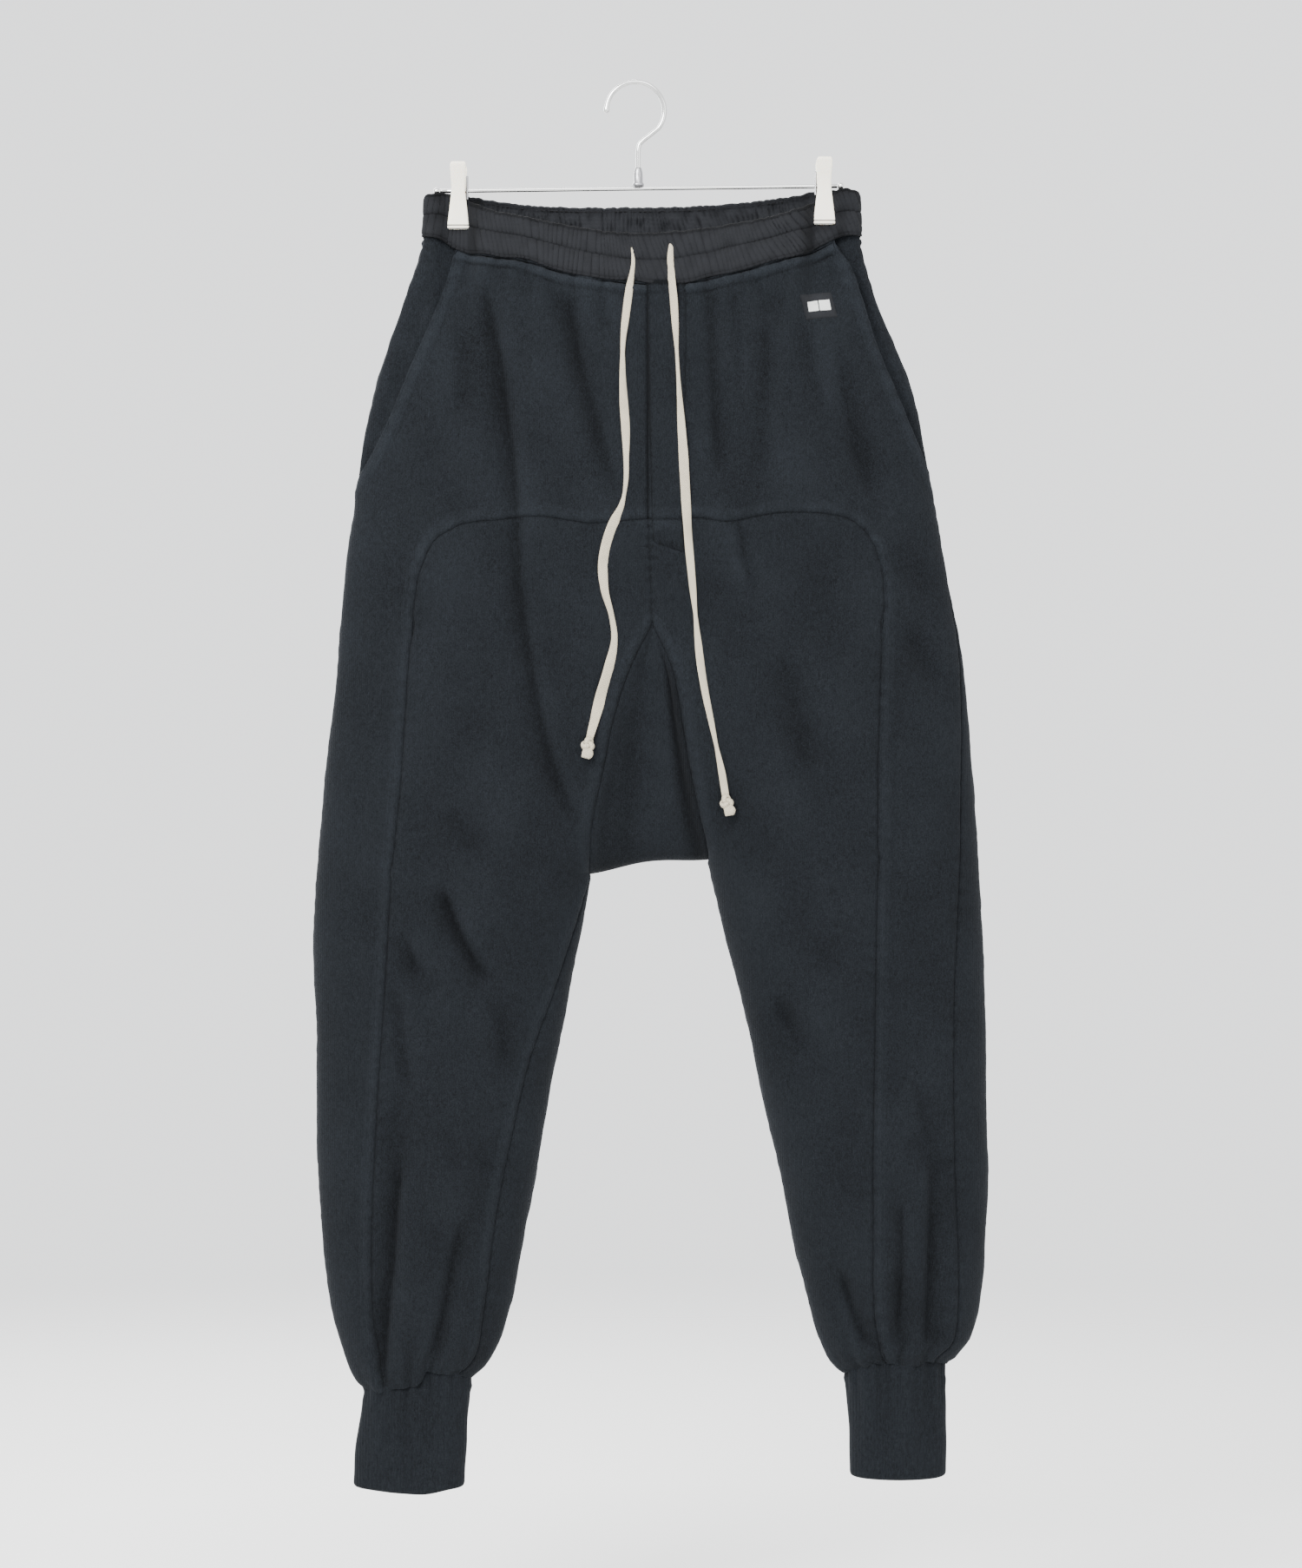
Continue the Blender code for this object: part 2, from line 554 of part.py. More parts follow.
def gusset_grid(left, right, face):
    """The dropped crotch between the legs, recessed a little and folded under at the bottom."""
    blend = np.linspace(0, 1, GUSSET_COLUMNS + 1)[None, :, None]
    grid = left[:, None, :] * (1 - blend) + right[:, None, :] * blend
    drop = np.linspace(0, 1, len(left))[:, None]
    recess = GUSSET_RECESS * np.sin(math.pi * blend[..., 0]) * np.sin(math.pi * np.clip(drop, 0, 1)) ** 0.8
    grid[..., 1] += face * recess
    grid[..., 2] += GUSSET_RISE * np.sin(math.pi * blend[..., 0]) ** 2 * drop ** 4
    return grid


def cell_normals(grid):
    """Area normal of each cell, from its diagonals."""
    return np.cross(grid[1:, 1:] - grid[:-1, :-1], grid[:-1, 1:] - grid[1:, :-1])


def outward(name, grid):
    """The grid, turned over if its cells face into the garment."""
    normal = cell_normals(grid)
    if name.startswith("cuff"):
        middle = grid[..., :2].reshape(-1, 2).mean(axis=0)
        cells = (grid[1:, 1:, :2] + grid[:-1, :-1, :2]) / 2
        facing = (normal[..., :2] * (cells - middle)).sum()
    else:
        facing = normal[..., 1].sum() * (1 if "back" in name else -1)
    return grid if facing > 0 else grid[:, ::-1]


def shared_normals(grids):
    """Unit normals at every point, averaged over all the pieces that meet there."""
    total = {}
    keys = {}
    for name, grid in grids.items():
        normal = cell_normals(grid)
        at_points = np.zeros(grid.shape)
        for rows in (slice(0, -1), slice(1, None)):
            for columns in (slice(0, -1), slice(1, None)):
                at_points[rows, columns] += normal
        keys[name] = [tuple(key) for key in np.round(grid.reshape(-1, 3), 3)]
        for key, value in zip(keys[name], at_points.reshape(-1, 3)):
            total[key] = total.get(key, 0) + value
    found = {}
    for name, grid in grids.items():
        values = np.array([total[key] for key in keys[name]])
        values /= np.linalg.norm(values, axis=1)[:, None]
        found[name] = values.reshape(grid.shape)
    return found


def pulled_in(grid, normals, gap):
    """The grid with its edges moved inwards, so that neighbours stand apart."""
    moved = grid.copy()
    shift = np.zeros(grid.shape)
    for edge, inside, axis in (((0, slice(None)), (1, slice(None)), 1),
                               ((-1, slice(None)), (-2, slice(None)), 1),
                               ((slice(None), 0), (slice(None), 1), 0),
                               ((slice(None), -1), (slice(None), -2), 0)):
        line = grid[edge]
        tangent = np.gradient(line, axis=0)
        tangent /= np.maximum(np.linalg.norm(tangent, axis=1), 1e-9)[:, None]
        across = np.cross(normals[edge], tangent)
        across /= np.maximum(np.linalg.norm(across, axis=1), 1e-9)[:, None]
        sign = np.sign(((grid[inside] - line) * across).sum(axis=1))
        shift[edge] += across * sign[:, None]
    moved += shift * gap
    return moved


def finish_object(name, mesh, colour, roughness=0.9, metallic=0.0):
    """Link a mesh as a named object with its own material."""
    material = bpy.data.materials.new(name + "_finish")
    material.use_nodes = True
    shader = material.node_tree.nodes["Principled BSDF"]
    shader.inputs["Base Color"].default_value = (*colour, 1.0)
    shader.inputs["Roughness"].default_value = roughness
    shader.inputs["Metallic"].default_value = metallic
    mesh.materials.append(material)
    part = bpy.data.objects.new(name, mesh)
    bpy.data.collections[COLLECTION].objects.link(part)
    return part


def wall(name, grid, normals, thickness, colour, closed=False):
    """A cloth wall over a grid; a closed one joins its last column to its first."""
    outer = grid + normals * thickness / 2
    inner = grid - normals * thickness / 2
    rows, columns = grid.shape[:2]
    if closed:
        columns -= 1
        outer = outer[:, :columns]
        inner = inner[:, :columns]
    points = np.concatenate((outer.reshape(-1, 3), inner.reshape(-1, 3))) * MM
    layer = rows * columns
    quads = []
    last = columns if closed else columns - 1
    for row in range(rows - 1):
        for column in range(last):
            after = (column + 1) % columns
            a = row * columns + column
            b = row * columns + after
            c = (row + 1) * columns + after
            d = (row + 1) * columns + column
            quads.append((a, d, c, b))
            quads.append((a + layer, b + layer, c + layer, d + layer))
    loops = []
    if closed:
        loops.append([column for column in range(columns)] + [0])
        bottom = [(rows - 1) * columns + column for column in range(columns)]
        loops.append((bottom + [bottom[0]])[::-1])
    else:
        top = [column for column in range(columns)]
        right = [row * columns + columns - 1 for row in range(1, rows)]
        bottom = [(rows - 1) * columns + column for column in range(columns - 2, -1, -1)]
        left = [row * columns for row in range(rows - 2, -1, -1)]
        loops.append(top + right + bottom + left)
    for loop in loops:
        for a, b in zip(loop[:-1], loop[1:]):
            quads.append((a, b, b + layer, a + layer))
    mesh = bpy.data.meshes.new(name)
    mesh.from_pydata([tuple(p) for p in points], [], quads)
    work = bmesh.new()
    work.from_mesh(mesh)
    bmesh.ops.remove_doubles(work, verts=work.verts, dist=1e-6)
    bmesh.ops.triangulate(work, faces=work.faces)
    bmesh.ops.recalc_face_normals(work, faces=work.faces)
    work.to_mesh(mesh)
    work.free()
    return finish_object(name, mesh, colour)


def build_cloth():
    """All the sewn pieces that lie edge to edge."""
    grids, edges = cloth_grids()
    grids = {name: outward(name, grid) for name, grid in grids.items()}
    normals = shared_normals(grids)
    for name, grid in grids.items():
        inset = pulled_in(grid, normals[name], SEAM_GAP / 2)
        if name.startswith("cuff"):
            seamless = grid.copy()
            seamless[0] -= (0, 0, SEAM_GAP / 2)
            wall(name, seamless, normals[name], RIB, NAVY, closed=True)
            continue
        if name.startswith("gusset"):
            inset[0] = grid[0, 0] + (0, 0, -2 * SEAM_GAP)
            normals[name][0] = normals[name][0].mean(axis=0)
        wall(name, inset, normals[name], CLOTH, NAVY)
    return edges


def band_grid(face, columns, seam):
    """The waistband's front or back: gathered waves that die out at the seam and at the clips.

    seam holds the points of the panels' top edge, which the band's lower edge follows.
    """
    top_column = "front_top" if face > 0 else "back_top"
    rows = np.array(BAND_ROWS)
    swing = np.array(BAND_SWING)
    share = np.linspace(-1, 1, columns + 1)
    grid = np.zeros((len(rows), columns + 1, 3))
    flow = np.arange(columns + 1)
    uneven = 0.75 + 0.25 * np.sin(flow * 1.7) + 0.2 * np.sin(flow * 0.61 + face)
    for column, place in enumerate(share):
        half = "left" if place < 0 else "right"
        turn = face * (1 - abs(place))
        for row, rise in enumerate(rows):
            height = -120.0
            for _ in range(3):
                x = cloth(half, turn, height)[0]
                low = np.interp(x, seam[:, 0], seam[:, 2]) + SEAM_GAP
                height = low + (band_edge(top_column, x) - low) * rise
            grid[row, column] = cloth(half, turn, height)
    tangent = np.gradient(grid, axis=1)
    tangent[..., 2] = 0
    tangent /= np.linalg.norm(tangent, axis=2)[..., None]
    normals = np.stack((tangent[..., 1], -tangent[..., 0], np.zeros(tangent.shape[:2])), axis=-1)
    normals *= face
    normals[:, 0] = (-1, 0, 0)
    normals[:, -1] = (1, 0, 0)
    free = np.ones(columns + 1)
    for half in ("left", "right"):
        free *= 1 - 0.85 * clip_press(half, grid[1, :, 0])
    free *= 1 - ease(0.93, 1.0, np.abs(share))
    wave = BAND_WAVE * np.where(flow % 2 == 0, 1.0, -1.0) * uneven * free
    grid = grid + normals * (swing[:, None] * wave[None, :])[..., None]
    return grid, normals


def waist_seam(face, edges):
    """Points of the panels' top edge, from the left side to the right."""
    points = []
    for half in ("left", "right"):
        top = edges[half]["waist"] if face > 0 else edges[half]["back_waist"]
        run = cloth(half, top[:, 0], top[:, 1])
        side = edges[half]["upper_side"][0]
        run = np.concatenate((run, cloth(half, side[0], side[1])[None]))
        points.append(run)
    line = np.concatenate((points[0], points[1]))
    return line[np.argsort(line[:, 0])]


def build_waistband(edges):
    """Two lengths of the band, joined at the sides."""
    for face, name in ((1, "waistband_front"), (-1, "waistband_back")):
        grid, normals = band_grid(face, 2 * BAND_WAVES, waist_seam(face, edges))
        inset = grid.copy()
        for edge, inside in ((0, 1), (-1, -2)):
            along = grid[:, inside] - grid[:, edge]
            along /= np.linalg.norm(along, axis=1)[:, None]
            inset[:, edge] += along * SEAM_GAP / 2
        wall(name, inset, normals, BAND, BAND_BLACK)


def facing_grid(half, found):
    """The strip of pocket beside a slanted opening and how far each point dives in.

    It starts on the back panel's edge, dives, and ends in under the front panel.
    """
    inwards = 1 if half == "left" else -1
    edge = np.array(POCKET_EDGE[half], float)
    heights = found["upper_side"][:, 1].copy()
    heights[-1] += FACING_SHORT
    grid = np.zeros((len(heights), len(FACING_COLUMNS), 3))
    dive = np.zeros(grid.shape[:2])
    for row, height in enumerate(heights):
        mouth = np.interp(-height, -edge[:, 1], edge[:, 0])
        visible = front_turn(half, mouth, height)
        hidden = front_turn(half, mouth + inwards * FACING_HIDDEN, height) - visible
        at_waist = ease(-175, -150, height)
        depth = FACING_TOP[half] * at_waist + FACING_INSET * (1 - at_waist)
        for column, (shown, tucked) in enumerate(FACING_COLUMNS):
            turn = visible * shown + hidden * tucked
            level = height
            if row == 0:
                seam_end = POCKET_EDGE[half][0].height
                level = height + (seam_end - height) * min(1.0, turn / visible) - FACING_LOWERED
            grid[row, column] = cloth(half, turn, level)
            dive[row, column] = depth * ease(0.0, 0.8, shown)
    return grid, dive


def build_facings(edges):
    """Both pocket facings, each starting beside the back panel's edge."""
    for half in ("left", "right"):
        grid, dive = facing_grid(half, edges[half])
        name = "pocket_facing_" + half
        side = 0
        if half == "right":
            grid, dive, side = grid[:, ::-1], dive[:, ::-1], -1
        moved = grid - shared_normals({name: grid})[name] * dive[..., None]
        moved[:, side, 1] -= FACING_CLEAR
        fresh = shared_normals({name: moved})[name]
        wall(name, pulled_in(moved, fresh, SEAM_GAP / 2), fresh, FACING, NAVY)


def solid_tree(names):
    """One search tree over several objects' meshes, in millimetres."""
    points = []
    faces = []
    for name in names:
        mesh = bpy.data.objects[name].data
        start = len(points)
        points += [Vector(vertex.co) / MM for vertex in mesh.vertices]
        faces += [[start + index for index in face.vertices] for face in mesh.polygons]
    return BVHTree.FromPolygons(points, faces)


def foremost(tree, x, height, spread_x=3.0, spread_height=4.0):
    """The most forward face of the cloth near a place, looking from the front."""
    found = []
    for side in (-spread_x, 0, spread_x):
        for rise in (-spread_height, 0, spread_height):
            hit = tree.ray_cast(Vector((x + side, -300, height + rise)), Vector((0, 1, 0)))
            if hit[0] is not None:
                found.append(hit[0].y)
    return min(found)


def laid_on(name, tree, corners, columns, rows, thickness, colour):
    """A flat piece sewn on the front, between four corners: top left, top right, below them."""
    grid = np.zeros((rows + 1, columns + 1, 3))
    top_left, top_right, low_left, low_right = (np.array(corner, float) for corner in corners)
    for row in range(rows + 1):
        for column in range(columns + 1):
            u = column / columns
            v = row / rows
            place = ((1 - v) * ((1 - u) * top_left + u * top_right)
                     + v * ((1 - u) * low_left + u * low_right))
            y = foremost(tree, place[0], place[1]) - SEAM_GAP - thickness / 2
            grid[row, column] = (place[0], y, place[1])
    forward = np.zeros(grid.shape)
    forward[..., 1] = -1.0
    wall(name, grid, forward, thickness, colour)


def build_placket(tree):
    """The fly's flap, sewn over the right front, with its slanted lower end."""
    seam = band_edge("front_seam", 25.0) - 1.2
    corners = ((10.4, seam), (40.0, seam), (12.6, -382.0), (38.5, -392.0))
    laid_on("fly_placket", tree, corners, 3, 14, 1.2, NAVY)


def build_patch(tree):
    """The small sewn patch on the right front, left bare."""
    corners = ((137.6, -175.7), (162.9, -173.0), (142.4, -194.5), (167.6, -192.5))
    laid_on("brand_patch", tree, corners, 3, 2, PATCH, BAND_BLACK)


def tube(name, points, radius, colour, resolution=2, roughness=0.85, metallic=0.0):
    """A round wire or cord along points in millimetres."""
    curve = bpy.data.curves.new(name, "CURVE")
    curve.dimensions = "3D"
    curve.bevel_depth = radius * MM
    curve.bevel_resolution = resolution
    curve.use_fill_caps = True
    spline = curve.splines.new("POLY")
    spline.points.add(len(points) - 1)
    for point, place in zip(spline.points, points):
        point.co = (*(Vector(place) * MM), 1.0)
    return finish_object(name, curve, colour, roughness, metallic)


def cord_points(half, tree):
    """The drawstring's route laid on the front, a point every two and a half diameters."""
    route = np.array(CORD_ROUTE[half], float)
    run = np.concatenate(([0.0], np.cumsum(np.hypot(*np.diff(route, axis=0).T))))
    count = int(run[-1] / CORD_STEP)
    places = even(route, count)
    front = np.array([foremost(tree, x, h, 4.0, 9.0) for x, h in places])
    for _ in range(2):
        padded = np.concatenate((front[:1], front, front[-1:]))
        front = np.minimum(front, (padded[:-2] + padded[1:-1] + padded[2:]) / 3)
    depth = front - SEAM_GAP - CORD_RADIUS
    depth -= KNOT_LIFT * ease(count - 4, count, np.arange(count + 1))
    return [(x, y, h) for (x, h), y in zip(places, depth)]


def build_cords(tree):
    """Each drawstring end, and the knot of two lobes that stops it."""
    for half in ("left", "right"):
        points = cord_points(half, tree)
        tube("drawstring_" + half, points, CORD_RADIUS, ECRU)
        last = Vector(points[-1])
        direction = (last - Vector(points[-2])).normalized()
        upper = last + direction * (SEAM_GAP + KNOT_LOBES[0])
        lower = last + direction * KNOT_SPREAD + Vector((-1.2, 0.5, 0))
        lobes = []
        for centre, radius in zip((upper, lower), KNOT_LOBES):
            bpy.ops.mesh.primitive_uv_sphere_add(
                segments=12, ring_count=8, radius=radius * MM, location=centre * MM)
            lobe = bpy.context.object
            lobe.data.transform(lobe.matrix_world)
            lobe.matrix_world = Matrix.Identity(4)
            lobes.append(lobe)
        union = lobes[0].modifiers.new("Lobes", "BOOLEAN")
        union.operation = "UNION"
        union.object = lobes[1]
        graph = bpy.context.evaluated_depsgraph_get()
        mesh = bpy.data.meshes.new_from_object(lobes[0].evaluated_get(graph))
        for lobe in lobes:
            bpy.data.objects.remove(lobe)
        mesh.materials.clear()
        mesh.shade_smooth()
        finish_object("knot_" + half, mesh, ECRU)


def build_hook():
    """The swivel hook: a round arc, a straight lean back to the middle, and the stem."""
    cx, cz = HOOK_CENTRE
    points = []
    for step in range(23):
        angle = math.radians(178 - step * (178 + 36) / 22)
        points.append((cx + HOOK_RADIUS * math.cos(angle), 0,
                       cz + HOOK_RADIUS * math.sin(angle)))
    points += [(11.6, 0, -41.8), (5.4, 0, -46.6), (2.6, 0, -49.4), (1.5, 0, -53.4), (1.4, 0, -69.2)]
    tube("hanger_hook", points, HOOK_WIRE, STEEL, 2, 0.25, 1.0)


def turned(name, profile, location, axis, colour, roughness, metallic):
    """A turned piece from a profile of radius and height, its axis along Z or X."""
    mesh = bpy.data.meshes.new(name)
    edges = [(index, index + 1) for index in range(len(profile) - 1)]
    if profile[0][0] > 0:
        edges.append((len(profile) - 1, 0))
    mesh.from_pydata([(r * MM, 0, h * MM) for r, h in profile], edges, [])
    part = finish_object(name, mesh, colour, roughness, metallic)
    screw = part.modifiers.new("Turn", "SCREW")
    screw.steps = 16
    screw.render_steps = 16
    screw.use_merge_vertices = True
    screw.merge_threshold = 0.00001
    part.location = Vector(location) * MM
    if axis == "X":
        part.rotation_euler = (0, math.pi / 2, 0)
    return part


def bar_height(x):
    """Height of the slightly tilted bar's middle at x."""
    (x0, h0), (x1, h1) = BAR_ENDS
    return h0 + (h1 - h0) * (x - x0) / (x1 - x0)


def build_bar():
    """The ferrule under the hook, the wire bar and the stops on its ends."""
    top = -69.5
    foot = bar_height(1.4) + BAR_WIRE + SEAM_GAP
    profile = ((0, top), (2.3, top), (3.3, top - 3), (3.7, top - 6.5), (3.7, foot), (0, foot))
    turned("hanger_ferrule", profile, (1.4, 0, 0), "Z", STEEL, 0.3, 1.0)
    ends = [(x, 0, h) for x, h in BAR_ENDS]
    tube("hanger_bar", ends, BAR_WIRE, STEEL, 2, 0.25, 1.0)
    for half, (x, height) in zip(("left", "right"), BAR_ENDS):
        out = -1 if half == "left" else 1
        profile = ((0, 2.5), (2.0, 2.2), (2.8, 1.0), (2.8, -1.0), (2.0, -2.2), (0, -2.5))
        turned("bar_end_" + half, profile, (x + out * (2.5 + SEAM_GAP), 0, height), "X",
               STEEL, 0.3, 1.0)


JawStation = namedtuple("JawStation", "rise half_width inner_face")
JAW_STATIONS = tuple(JawStation(*row) for row in (
    (22.0, 5.6, 12.6), (20.0, 6.6, 12.0), (8.0, 6.1, 8.2), (0.0, 5.9, 6.3), (-10.0, 7.1, 5.7),
    (-20.0, 8.9, 5.5), (-30.0, 9.2, 5.5), (-32.5, 8.7, 5.5)))
JAW_THICKNESS = 2.2


def build_clips():
    """Both clips: a jaw before the cloth, a jaw behind it and the sprung barrel on the bar."""
    for half in ("left", "right"):
        x = CLIP_X[half]
        bar = bar_height(x)
        for face, name in ((-1, "front"), (1, "back")):
            points = []
            for station in JAW_STATIONS:
                near = face * station.inner_face
                far = face * (station.inner_face + JAW_THICKNESS)
                for side, depth in ((-1, near), (1, near), (1, far), (-1, far)):
                    points.append((x + side * station.half_width, depth, bar + station.rise))
            faces = [(0, 1, 2, 3), tuple(range(len(points) - 1, len(points) - 5, -1))]
            for level in range(len(JAW_STATIONS) - 1):
                for side in range(4):
                    a = level * 4 + side
                    b = level * 4 + (side + 1) % 4
                    faces.append((a, a + 4, b + 4, b))
            mesh = bpy.data.meshes.new("jaw")
            mesh.from_pydata([tuple(Vector(p) * MM) for p in points], [], faces)
            work = bmesh.new()
            work.from_mesh(mesh)
            bmesh.ops.recalc_face_normals(work, faces=work.faces)
            work.to_mesh(mesh)
            work.free()
            finish_object(f"clip_jaw_{name}_{half}", mesh, CREAM, 0.45)
        profile = ((4.2, 5.0), (4.2, -5.0), (2.1, -5.0), (2.1, 5.0))
        turned("clip_spring_" + half, profile, (x, 0, bar), "X", STEEL, 0.35, 1.0)


def main():
    for old in list(bpy.data.objects):
        bpy.data.objects.remove(old)
    group = bpy.data.collections.new(COLLECTION)
    bpy.context.scene.collection.children.link(group)
    edges = build_cloth()
    build_waistband(edges)
    build_facings(edges)
    fronts = ["waistband_front", "gusset_front"]
    for half in ("left", "right"):
        fronts += ["front_side_" + half, "front_leg_" + half]
    tree = solid_tree(fronts)
    build_placket(tree)
    build_patch(tree)
    build_cords(solid_tree(fronts + ["fly_placket"]))
    build_hook()
    build_bar()
    build_clips()


main()
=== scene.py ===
# %% [markdown]
# # Drawstring joggers on a clip hanger
#
# The joggers hang flat from a wire hanger with two plastic clips. The waist is a gathered band of
# black woven cloth, the body is a washed navy jersey, and the crotch drops low into a gusset.
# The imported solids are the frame. They could be shown as they are, but cloth lives from its folds
# and seams. So this script builds each cut piece again as a fine thin shell on the same form, and
# adds the seams, gathers, creases and stitches that the solids leave out.

from collections import namedtuple
import math

import bmesh
import bpy
import numpy as np
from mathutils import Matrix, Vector
from mathutils.bvhtree import BVHTree


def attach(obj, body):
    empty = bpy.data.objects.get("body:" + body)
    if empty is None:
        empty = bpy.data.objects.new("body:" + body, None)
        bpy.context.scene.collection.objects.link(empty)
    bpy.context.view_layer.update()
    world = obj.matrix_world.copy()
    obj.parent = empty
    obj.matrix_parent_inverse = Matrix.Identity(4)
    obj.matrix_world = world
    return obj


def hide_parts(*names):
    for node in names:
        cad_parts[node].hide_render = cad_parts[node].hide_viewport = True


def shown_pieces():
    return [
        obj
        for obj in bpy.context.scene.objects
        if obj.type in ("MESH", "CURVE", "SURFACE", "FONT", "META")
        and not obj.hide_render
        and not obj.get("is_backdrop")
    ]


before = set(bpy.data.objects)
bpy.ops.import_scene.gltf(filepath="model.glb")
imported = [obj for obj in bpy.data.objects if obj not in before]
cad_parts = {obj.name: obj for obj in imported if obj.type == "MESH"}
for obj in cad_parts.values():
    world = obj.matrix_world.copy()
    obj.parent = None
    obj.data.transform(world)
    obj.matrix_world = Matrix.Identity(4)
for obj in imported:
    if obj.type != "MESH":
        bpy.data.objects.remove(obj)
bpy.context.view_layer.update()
MM = 0.001
print("solids:", len(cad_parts))

# %% [markdown]
# ## The camera
#
# The picture was taken straight on with a long lens. A flat projection would come close, but a far
# camera keeps the slight perspective of the hook and the sides. It is level, aimed at the middle of
# the picture, and its lens follows from how much of the garment's own plane the picture takes in.

# %% Camera
PICTURE_CENTRE = (12.0, -580.0)  # across and up from the hook, in millimetres
PICTURE_HEIGHT = 1300.0
CAMERA_DISTANCE = 4000.0
FILM_HEIGHT = 36.0


def linked(name, data, *place):
    """A new object at a place in millimetres, linked to the scene."""
    thing = bpy.data.objects.new(name, data)
    thing.location = Vector(place) * MM
    bpy.context.scene.collection.objects.link(thing)
    return thing


camera = linked("camera", bpy.data.cameras.new("camera"),
                PICTURE_CENTRE[0], -CAMERA_DISTANCE, PICTURE_CENTRE[1])
camera.data.sensor_fit = "VERTICAL"
camera.data.sensor_height = FILM_HEIGHT
camera.data.lens = FILM_HEIGHT * CAMERA_DISTANCE / PICTURE_HEIGHT
camera.data.clip_end = 40
camera.rotation_euler = (math.pi / 2, 0, 0)
bpy.context.scene.camera = camera
print("lens:", round(camera.data.lens, 1), "mm")

# %% [markdown]
# ## A small language for materials
#
# Finishes are made of node trees. Written out node by node they are long and hard to read, so a
# small class wraps a node's socket and lets ordinary arithmetic add the Math nodes. One method adds
# every other kind of node from its type, the output that is wanted, its settings and its inputs.

# %% Shader helpers
class Wire:
    """A socket of numbers on which ordinary arithmetic works."""

    def __init__(self, tree, socket):
        self.tree, self.socket = tree, socket

    def math(self, operation, *others):
        node = self.tree.nodes.new("ShaderNodeMath")
        node.operation = operation
        for slot, value in zip(node.inputs, (self,) + others):
            plug(self.tree, slot, value)
        return Wire(self.tree, node.outputs[0])

    def __add__(self, other):
        return self.math("ADD", other)

    def __sub__(self, other):
        return self.math("SUBTRACT", other)

    def __rsub__(self, other):
        return (self * -1.0) + other

    def __mul__(self, other):
        return self.math("MULTIPLY", other)

    __radd__ = __add__
    __rmul__ = __mul__

    def clamp(self):
        return self.math("MAXIMUM", 0.0).math("MINIMUM", 1.0)


def plug(tree, slot, value):
    """Put a link or a plain value on a socket."""
    if isinstance(value, Wire):
        tree.links.new(value.socket, slot)
    else:
        slot.default_value = value


class Finish:
    """A material under construction."""

    def __init__(self, name):
        self.material = bpy.data.materials.new(name)
        self.material.use_nodes = True
        self.tree = self.material.node_tree
        self.shader = self.tree.nodes["Principled BSDF"]
        self.place = self.node("ShaderNodeTexCoord", "Object")

    def node(self, kind, output, settings=None, inputs=None):
        """A new node with its settings and inputs; gives one of its outputs."""
        node = self.tree.nodes.new(kind)
        for key, value in (settings or {}).items():
            setattr(node, key, value)
        for key, value in (inputs or {}).items():
            plug(self.tree, node.inputs[key], value)
        return Wire(self.tree, node.outputs[output])

    def mapped(self, place, **inputs):
        return self.node("ShaderNodeMapping", "Vector", {}, {"Vector": place, **inputs})

    def noise(self, scale, detail=2.0, roughness=0.5, stretch=None):
        place = self.mapped(self.place, Scale=stretch) if stretch else self.place
        return self.node("ShaderNodeTexNoise", "Fac", {}, {
            "Vector": place, "Scale": scale, "Detail": detail, "Roughness": roughness})

    def ribs(self, pitch, axis, distortion=0.0, detail_scale=1.0, place=None):
        """Waves across one axis, a pitch apart in the unit of their coordinates."""
        banded = {"wave_type": "BANDS", "bands_direction": axis}
        return self.node("ShaderNodeTexWave", "Fac", banded, {
            "Vector": place or self.place, "Scale": 2 * math.pi / (20 * pitch),
            "Distortion": distortion, "Detail": 1.0, "Detail Scale": detail_scale})

    def mix(self, factor, first, second):
        """Blend two colours, each a red, green and blue."""
        return self.node("ShaderNodeMix", 2, {"data_type": "RGBA"},
                         {0: factor, 6: (*first, 1.0), 7: (*second, 1.0)})

    def relief_shade(self, low, reach):
        """Mask for painted shade and light from the kept relief: 0 in grooves, 1 on ridges."""
        lift = self.node("ShaderNodeAttribute", "Fac", {"attribute_name": "lift"})
        return ((lift + low) * reach).clamp()

    def bump(self, height, distance):
        bumped = self.node("ShaderNodeBump", "Normal", {}, {
            "Height": height, "Distance": distance, "Strength": 1.0})
        plug(self.tree, self.shader.inputs["Normal"], bumped)

    def set(self, **values):
        """Set the shader's inputs and give the finished material."""
        for key, value in values.items():
            plug(self.tree, self.shader.inputs[key.replace("_", " ")], value)
        return self.material


# %% [markdown]
# ## The floor and the light
#
# The background is pale and without a horizon. A curved paper backdrop would show in views from
# behind, so the floor is a pale disc under the hem whose rim fades away. The light is soft and
# wide, as in a studio.

# %% Floor
FLOOR_HEIGHT = -1290.0
FLOOR_RADIUS = 3200.0
FLOOR_SOLID = 0.9  # metres of floor before it starts to fade
FLOOR_FADE = 2.1
FLOOR_TONE = (0.86, 0.86, 0.85, 1.0)

floor_finish = Finish("pale_floor")
centre_distance = floor_finish.node(
    "ShaderNodeVectorMath", "Value", {"operation": "LENGTH"}, {"Vector": floor_finish.place})
fade = ((centre_distance - FLOOR_SOLID) * (1 / FLOOR_FADE)).clamp()
clear = floor_finish.node("ShaderNodeBsdfTransparent", "BSDF")
solid = Wire(floor_finish.tree, floor_finish.shader.outputs[0])
blend = floor_finish.node("ShaderNodeMixShader", "Shader", {}, {0: fade, 1: solid, 2: clear})
plug(floor_finish.tree, floor_finish.tree.nodes["Material Output"].inputs["Surface"], blend)
floor_finish.set(Base_Color=FLOOR_TONE, Roughness=0.8)

bpy.ops.mesh.primitive_circle_add(vertices=96, radius=FLOOR_RADIUS * MM, fill_type="TRIFAN",
                                  location=(0, 0, FLOOR_HEIGHT * MM))
floor = bpy.context.object
floor.name = "floor"
floor.data.materials.append(floor_finish.material)
floor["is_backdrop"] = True
print("floor:", FLOOR_RADIUS * MM, "m wide from its middle")

